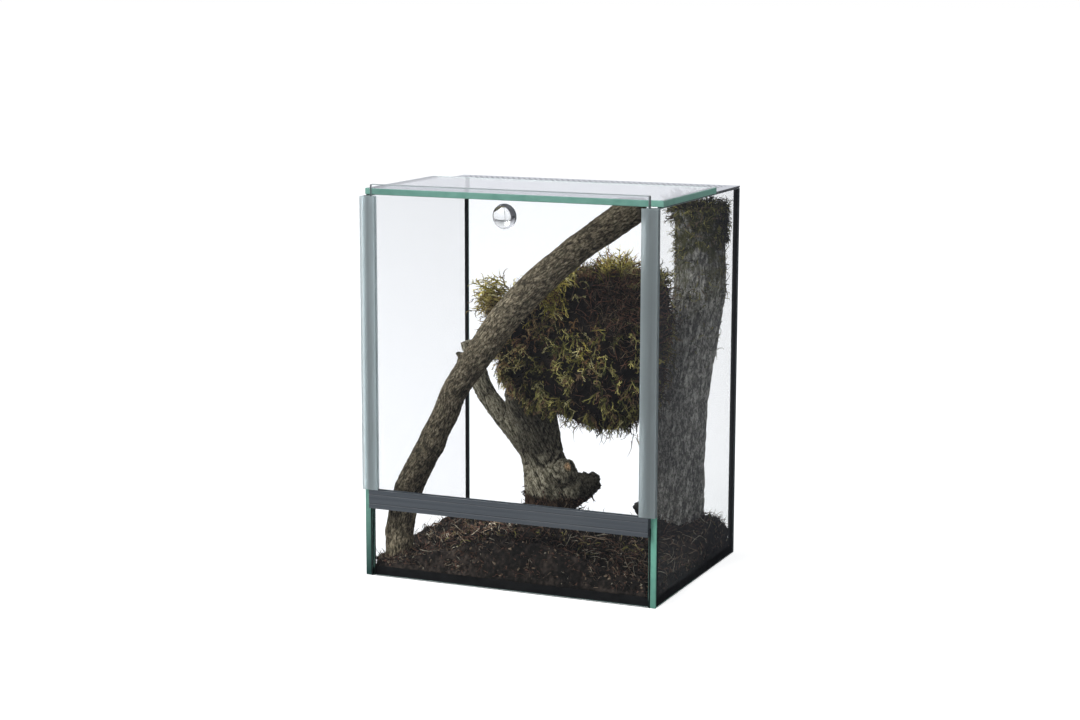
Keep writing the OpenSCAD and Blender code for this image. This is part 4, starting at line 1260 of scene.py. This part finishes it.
# Moss on the trunk's head and upper part
TRUNK_STRANDS, HEAD_STRANDS, HEAD_SPRIGS = 1500, 520, 90
rng = np.random.default_rng(303)
count = TRUNK_STRANDS


def upper_trunk(p, n):
    rise = np.clip((p[:, 2] - 120) / 110, 0, 1) ** 1.6
    return rise * np.clip(fbm(p / 9, 2, 141) + 0.35, 0, 1)


at, out = sample_surface(trunk_verts, trunk_faces, count, rng, upper_trunk)
heading = unit(out * 0.5 + unit(any_way(count, rng)))
TRUNK_HUES = [OLIVE, YELLOW, DEEP_GREEN, TAN, UMBER]
cap = [sown(
    strands, at - 0.6 * out, heading, (3, 8), (0.2, 0.4),
    (TRUNK_HUES, [0.34, 0.12, 0.3, 0.1, 0.14]), rng,
    segments=4, curl=1.0, droop=0.2, leaves=4, leaf=1.7,
)]


def round_trunk(turn, far, z, shift=-1):
    """Points at one turn and distance from the trunk's axis, with the axis moved by shift along x."""
    x, y = TRUNK_X + shift + far * np.cos(turn), TRUNK_Y + far * np.sin(turn)
    return np.stack([x, y, z + np.zeros(len(turn))], 1)


count = HEAD_STRANDS
turn, far = rng.uniform(0, 2 * np.pi, count), np.sqrt(rng.random(count)) * TRUNK_R * 0.9
heading = np.stack([np.cos(turn) * 1.1, np.sin(turn) * 1.1, rng.uniform(0.1, 0.9, count)], 1)
cap.append(sown(
    strands, round_trunk(turn, far, TRUNK_HEAD - 0.3), heading + 0.4 * any_way(count, rng),
    (4, 12), (0.3, 0.5), (TRUNK_HUES, [0.34, 0.12, 0.26, 0.14, 0.14]), rng,
    segments=4, curl=0.9, droop=0.35, leaves=5, leaf=2.0,
))
# Sprigs that stand on the head, up to the top pane
count = HEAD_SPRIGS
turn, far = rng.uniform(0, 2 * np.pi, count), np.sqrt(rng.random(count)) * TRUNK_R
cap.append(sown(
    sprays, round_trunk(turn, far, TRUNK_HEAD, 0), any_way(count, rng) * 0.5 + [0.25, 0.1, 1],
    (7, 12), (0.3, 0.5), (TRUNK_HUES, [0.3, 0.14, 0.24, 0.12, 0.2]), rng, 3, 0.8, 0.1,
))
# Ragged sprigs that hang over the head's two sides: way round, drop, width and number
for turn_at, drop, wide, count in ((2.6, 9, 0.8, 60), (0.1, 22, 0.9, 130)):
    turn = rng.normal(turn_at, wide * 0.5, count)
    fall = rng.random(count) * drop
    heading = np.stack([np.cos(turn), np.sin(turn), rng.uniform(-0.6, 0.6, count)], 1)
    cap.append(sown(
        sprays, round_trunk(turn, TRUNK_R * 0.95, TRUNK_HEAD - fall), heading, (4, 9), (0.3, 0.5),
        (TRUNK_HUES[:4], [0.4, 0.2, 0.2, 0.2]), rng, 3, 0.9, 0.6,
    ))
tinted_piece("trunk_moss", cap, MOSS_MAT, "moss", ["moss_cap"], margin=0.8, top=LID_Z - 2.4)

# ---------------------------------------------------------------- stage
FLOOR_GLOW, FLOOR_BEHIND_GLASS, BEHIND_GLASS = 0.8, 1.27, 1.3
FLOOR_MATT, FLOOR_MIRRORED = (0.5, 0.5, 0.5), (0.08, 0.082, 0.088)


def floor_material():
    """Pale floor that reads as white and keeps the object's shadow."""
    m = Nodes("floor_white")
    path = m.add("ShaderNodeLightPath")
    behind_glass = m.math("MULTIPLY", path.outputs["Is Transmission Ray"], FLOOR_BEHIND_GLASS)
    mirrored = m.math("GREATER_THAN", path.outputs["Glossy Depth"], 0.5)
    direct = m.math("SUBTRACT", 1.0, mirrored)
    seen = m.math("MULTIPLY", m.math("MAXIMUM", path.outputs["Is Camera Ray"], behind_glass), direct)
    glow = m.math("MULTIPLY", seen, FLOOR_GLOW)
    white = m.add("ShaderNodeEmission", {"Color": (1, 1, 1), "Strength": glow})
    matt = m.add("ShaderNodeBsdfDiffuse", {"Color": FLOOR_MATT})
    dim = m.add("ShaderNodeBsdfDiffuse", {"Color": FLOOR_MIRRORED})
    return m.shader(m.add("ShaderNodeAddShader", {0: m.shade(mirrored, matt, dim), 1: white}))


FLOOR_HALF = 30000
corners = np.array([[-1, -1, 0], [1, -1, 0], [1, 1, 0], [-1, 1, 0]]) * FLOOR_HALF
floor = fast_mesh("floor", corners, [np.array([[0, 1, 2, 3]])], smooth=False)
floor.data.materials.append(floor_material())

SOFT_LOW, SOFT_HIGH, SOFT_FROM = (0.14, 0.145, 0.15), (0.62, 0.635, 0.66), (-0.55, 0.15, 0.82)
MIRROR_LOW, MIRROR_HIGH, MIRROR_FROM = (0.07, 0.07, 0.08), (0.78, 0.80, 0.86), (-0.2, 0.55, 0.81)
w = Nodes("studio", bpy.data.worlds, "ShaderNodeOutputWorld")
bpy.context.scene.world = w.owner
way = w.add("ShaderNodeTexCoord").outputs["Generated"]


def sky(low, high, towards, start, stop):
    """A soft glow that grows towards one direction."""
    level = w.spread(w.towards(way, Vector(towards).normalized()), start, stop)
    return w.add("ShaderNodeBackground", {0: w.mix(level, low, high)})


path = w.add("ShaderNodeLightPath")
mirrored = w.math("GREATER_THAN", path.outputs["Glossy Depth"], 0.5)
behind_glass = w.math("MULTIPLY", path.outputs["Is Transmission Ray"], BEHIND_GLASS)
strength = w.math("MAXIMUM", path.outputs["Is Camera Ray"], behind_glass)
straight = w.math("SUBTRACT", 1.0, mirrored)
shown = w.math("MULTIPLY", w.math("GREATER_THAN", strength, 0.5), straight)
white = w.add("ShaderNodeBackground", {0: (1, 1, 1), 1: strength})
soft = sky(SOFT_LOW, SOFT_HIGH, SOFT_FROM, -0.6, 0.9)
mirror = sky(MIRROR_LOW, MIRROR_HIGH, MIRROR_FROM, 0.2, 0.62)
w.shader(w.shade(shown, w.shade(mirrored, soft, mirror), white))


def area(name, place, aim, size, power):
    lamp = bpy.data.lights.new(name, "AREA")
    lamp.shape, lamp.size, lamp.size_y = "RECTANGLE", size[0], size[1]
    lamp.energy = power
    obj = bpy.data.objects.new(name, lamp)
    obj.location = place
    obj.rotation_mode = "QUATERNION"
    obj.rotation_quaternion = (Vector(aim) - Vector(place)).to_track_quat("-Z", "Y")
    bpy.context.scene.collection.objects.link(obj)


area("key_left", (-1.1, -1.2, 1.5), (0, 0, 0.12), (1.3, 1.3), 44)

# ---------------------------------------------------------------- camera, fitted to the tank's corners
CAM_FOCUS_PX, FRAME_W_PX = 2220.5, 1080.0
CAM_YAW, CAM_PITCH, CAM_ROLL = 0.4076, 0.1693, 0.0022
CAM_PLACE = (0.55606, -1.31116, 0.37961)
SENSOR_W = 36.0
level = math.cos(CAM_PITCH)
forward = Vector((-math.sin(CAM_YAW) * level, math.cos(CAM_YAW) * level, -math.sin(CAM_PITCH)))
right = Vector((math.cos(CAM_YAW), math.sin(CAM_YAW), 0))
up = right.cross(forward)
cosine, sine = math.cos(CAM_ROLL), math.sin(CAM_ROLL)
right, up = cosine * right + sine * up, cosine * up - sine * right
cam_data = bpy.data.cameras.new("camera")
cam_data.sensor_width = SENSOR_W
cam_data.lens = SENSOR_W * CAM_FOCUS_PX / FRAME_W_PX
cam_data.clip_start, cam_data.clip_end = 0.01, 200
cam = bpy.data.objects.new("camera", cam_data)
cam.matrix_world = Matrix.Translation(CAM_PLACE) @ Matrix((right, up, -forward)).transposed().to_4x4()
bpy.context.scene.collection.objects.link(cam)
bpy.context.scene.camera = cam

scene = bpy.context.scene
scene.view_settings.view_transform = "Standard"
# Room for rays that cross several panes, each with two surfaces
scene.cycles.transparent_max_bounces = 32
scene.cycles.max_bounces = 16
scene.cycles.transmission_bounces = 16
scene.cycles.glossy_bounces = 8
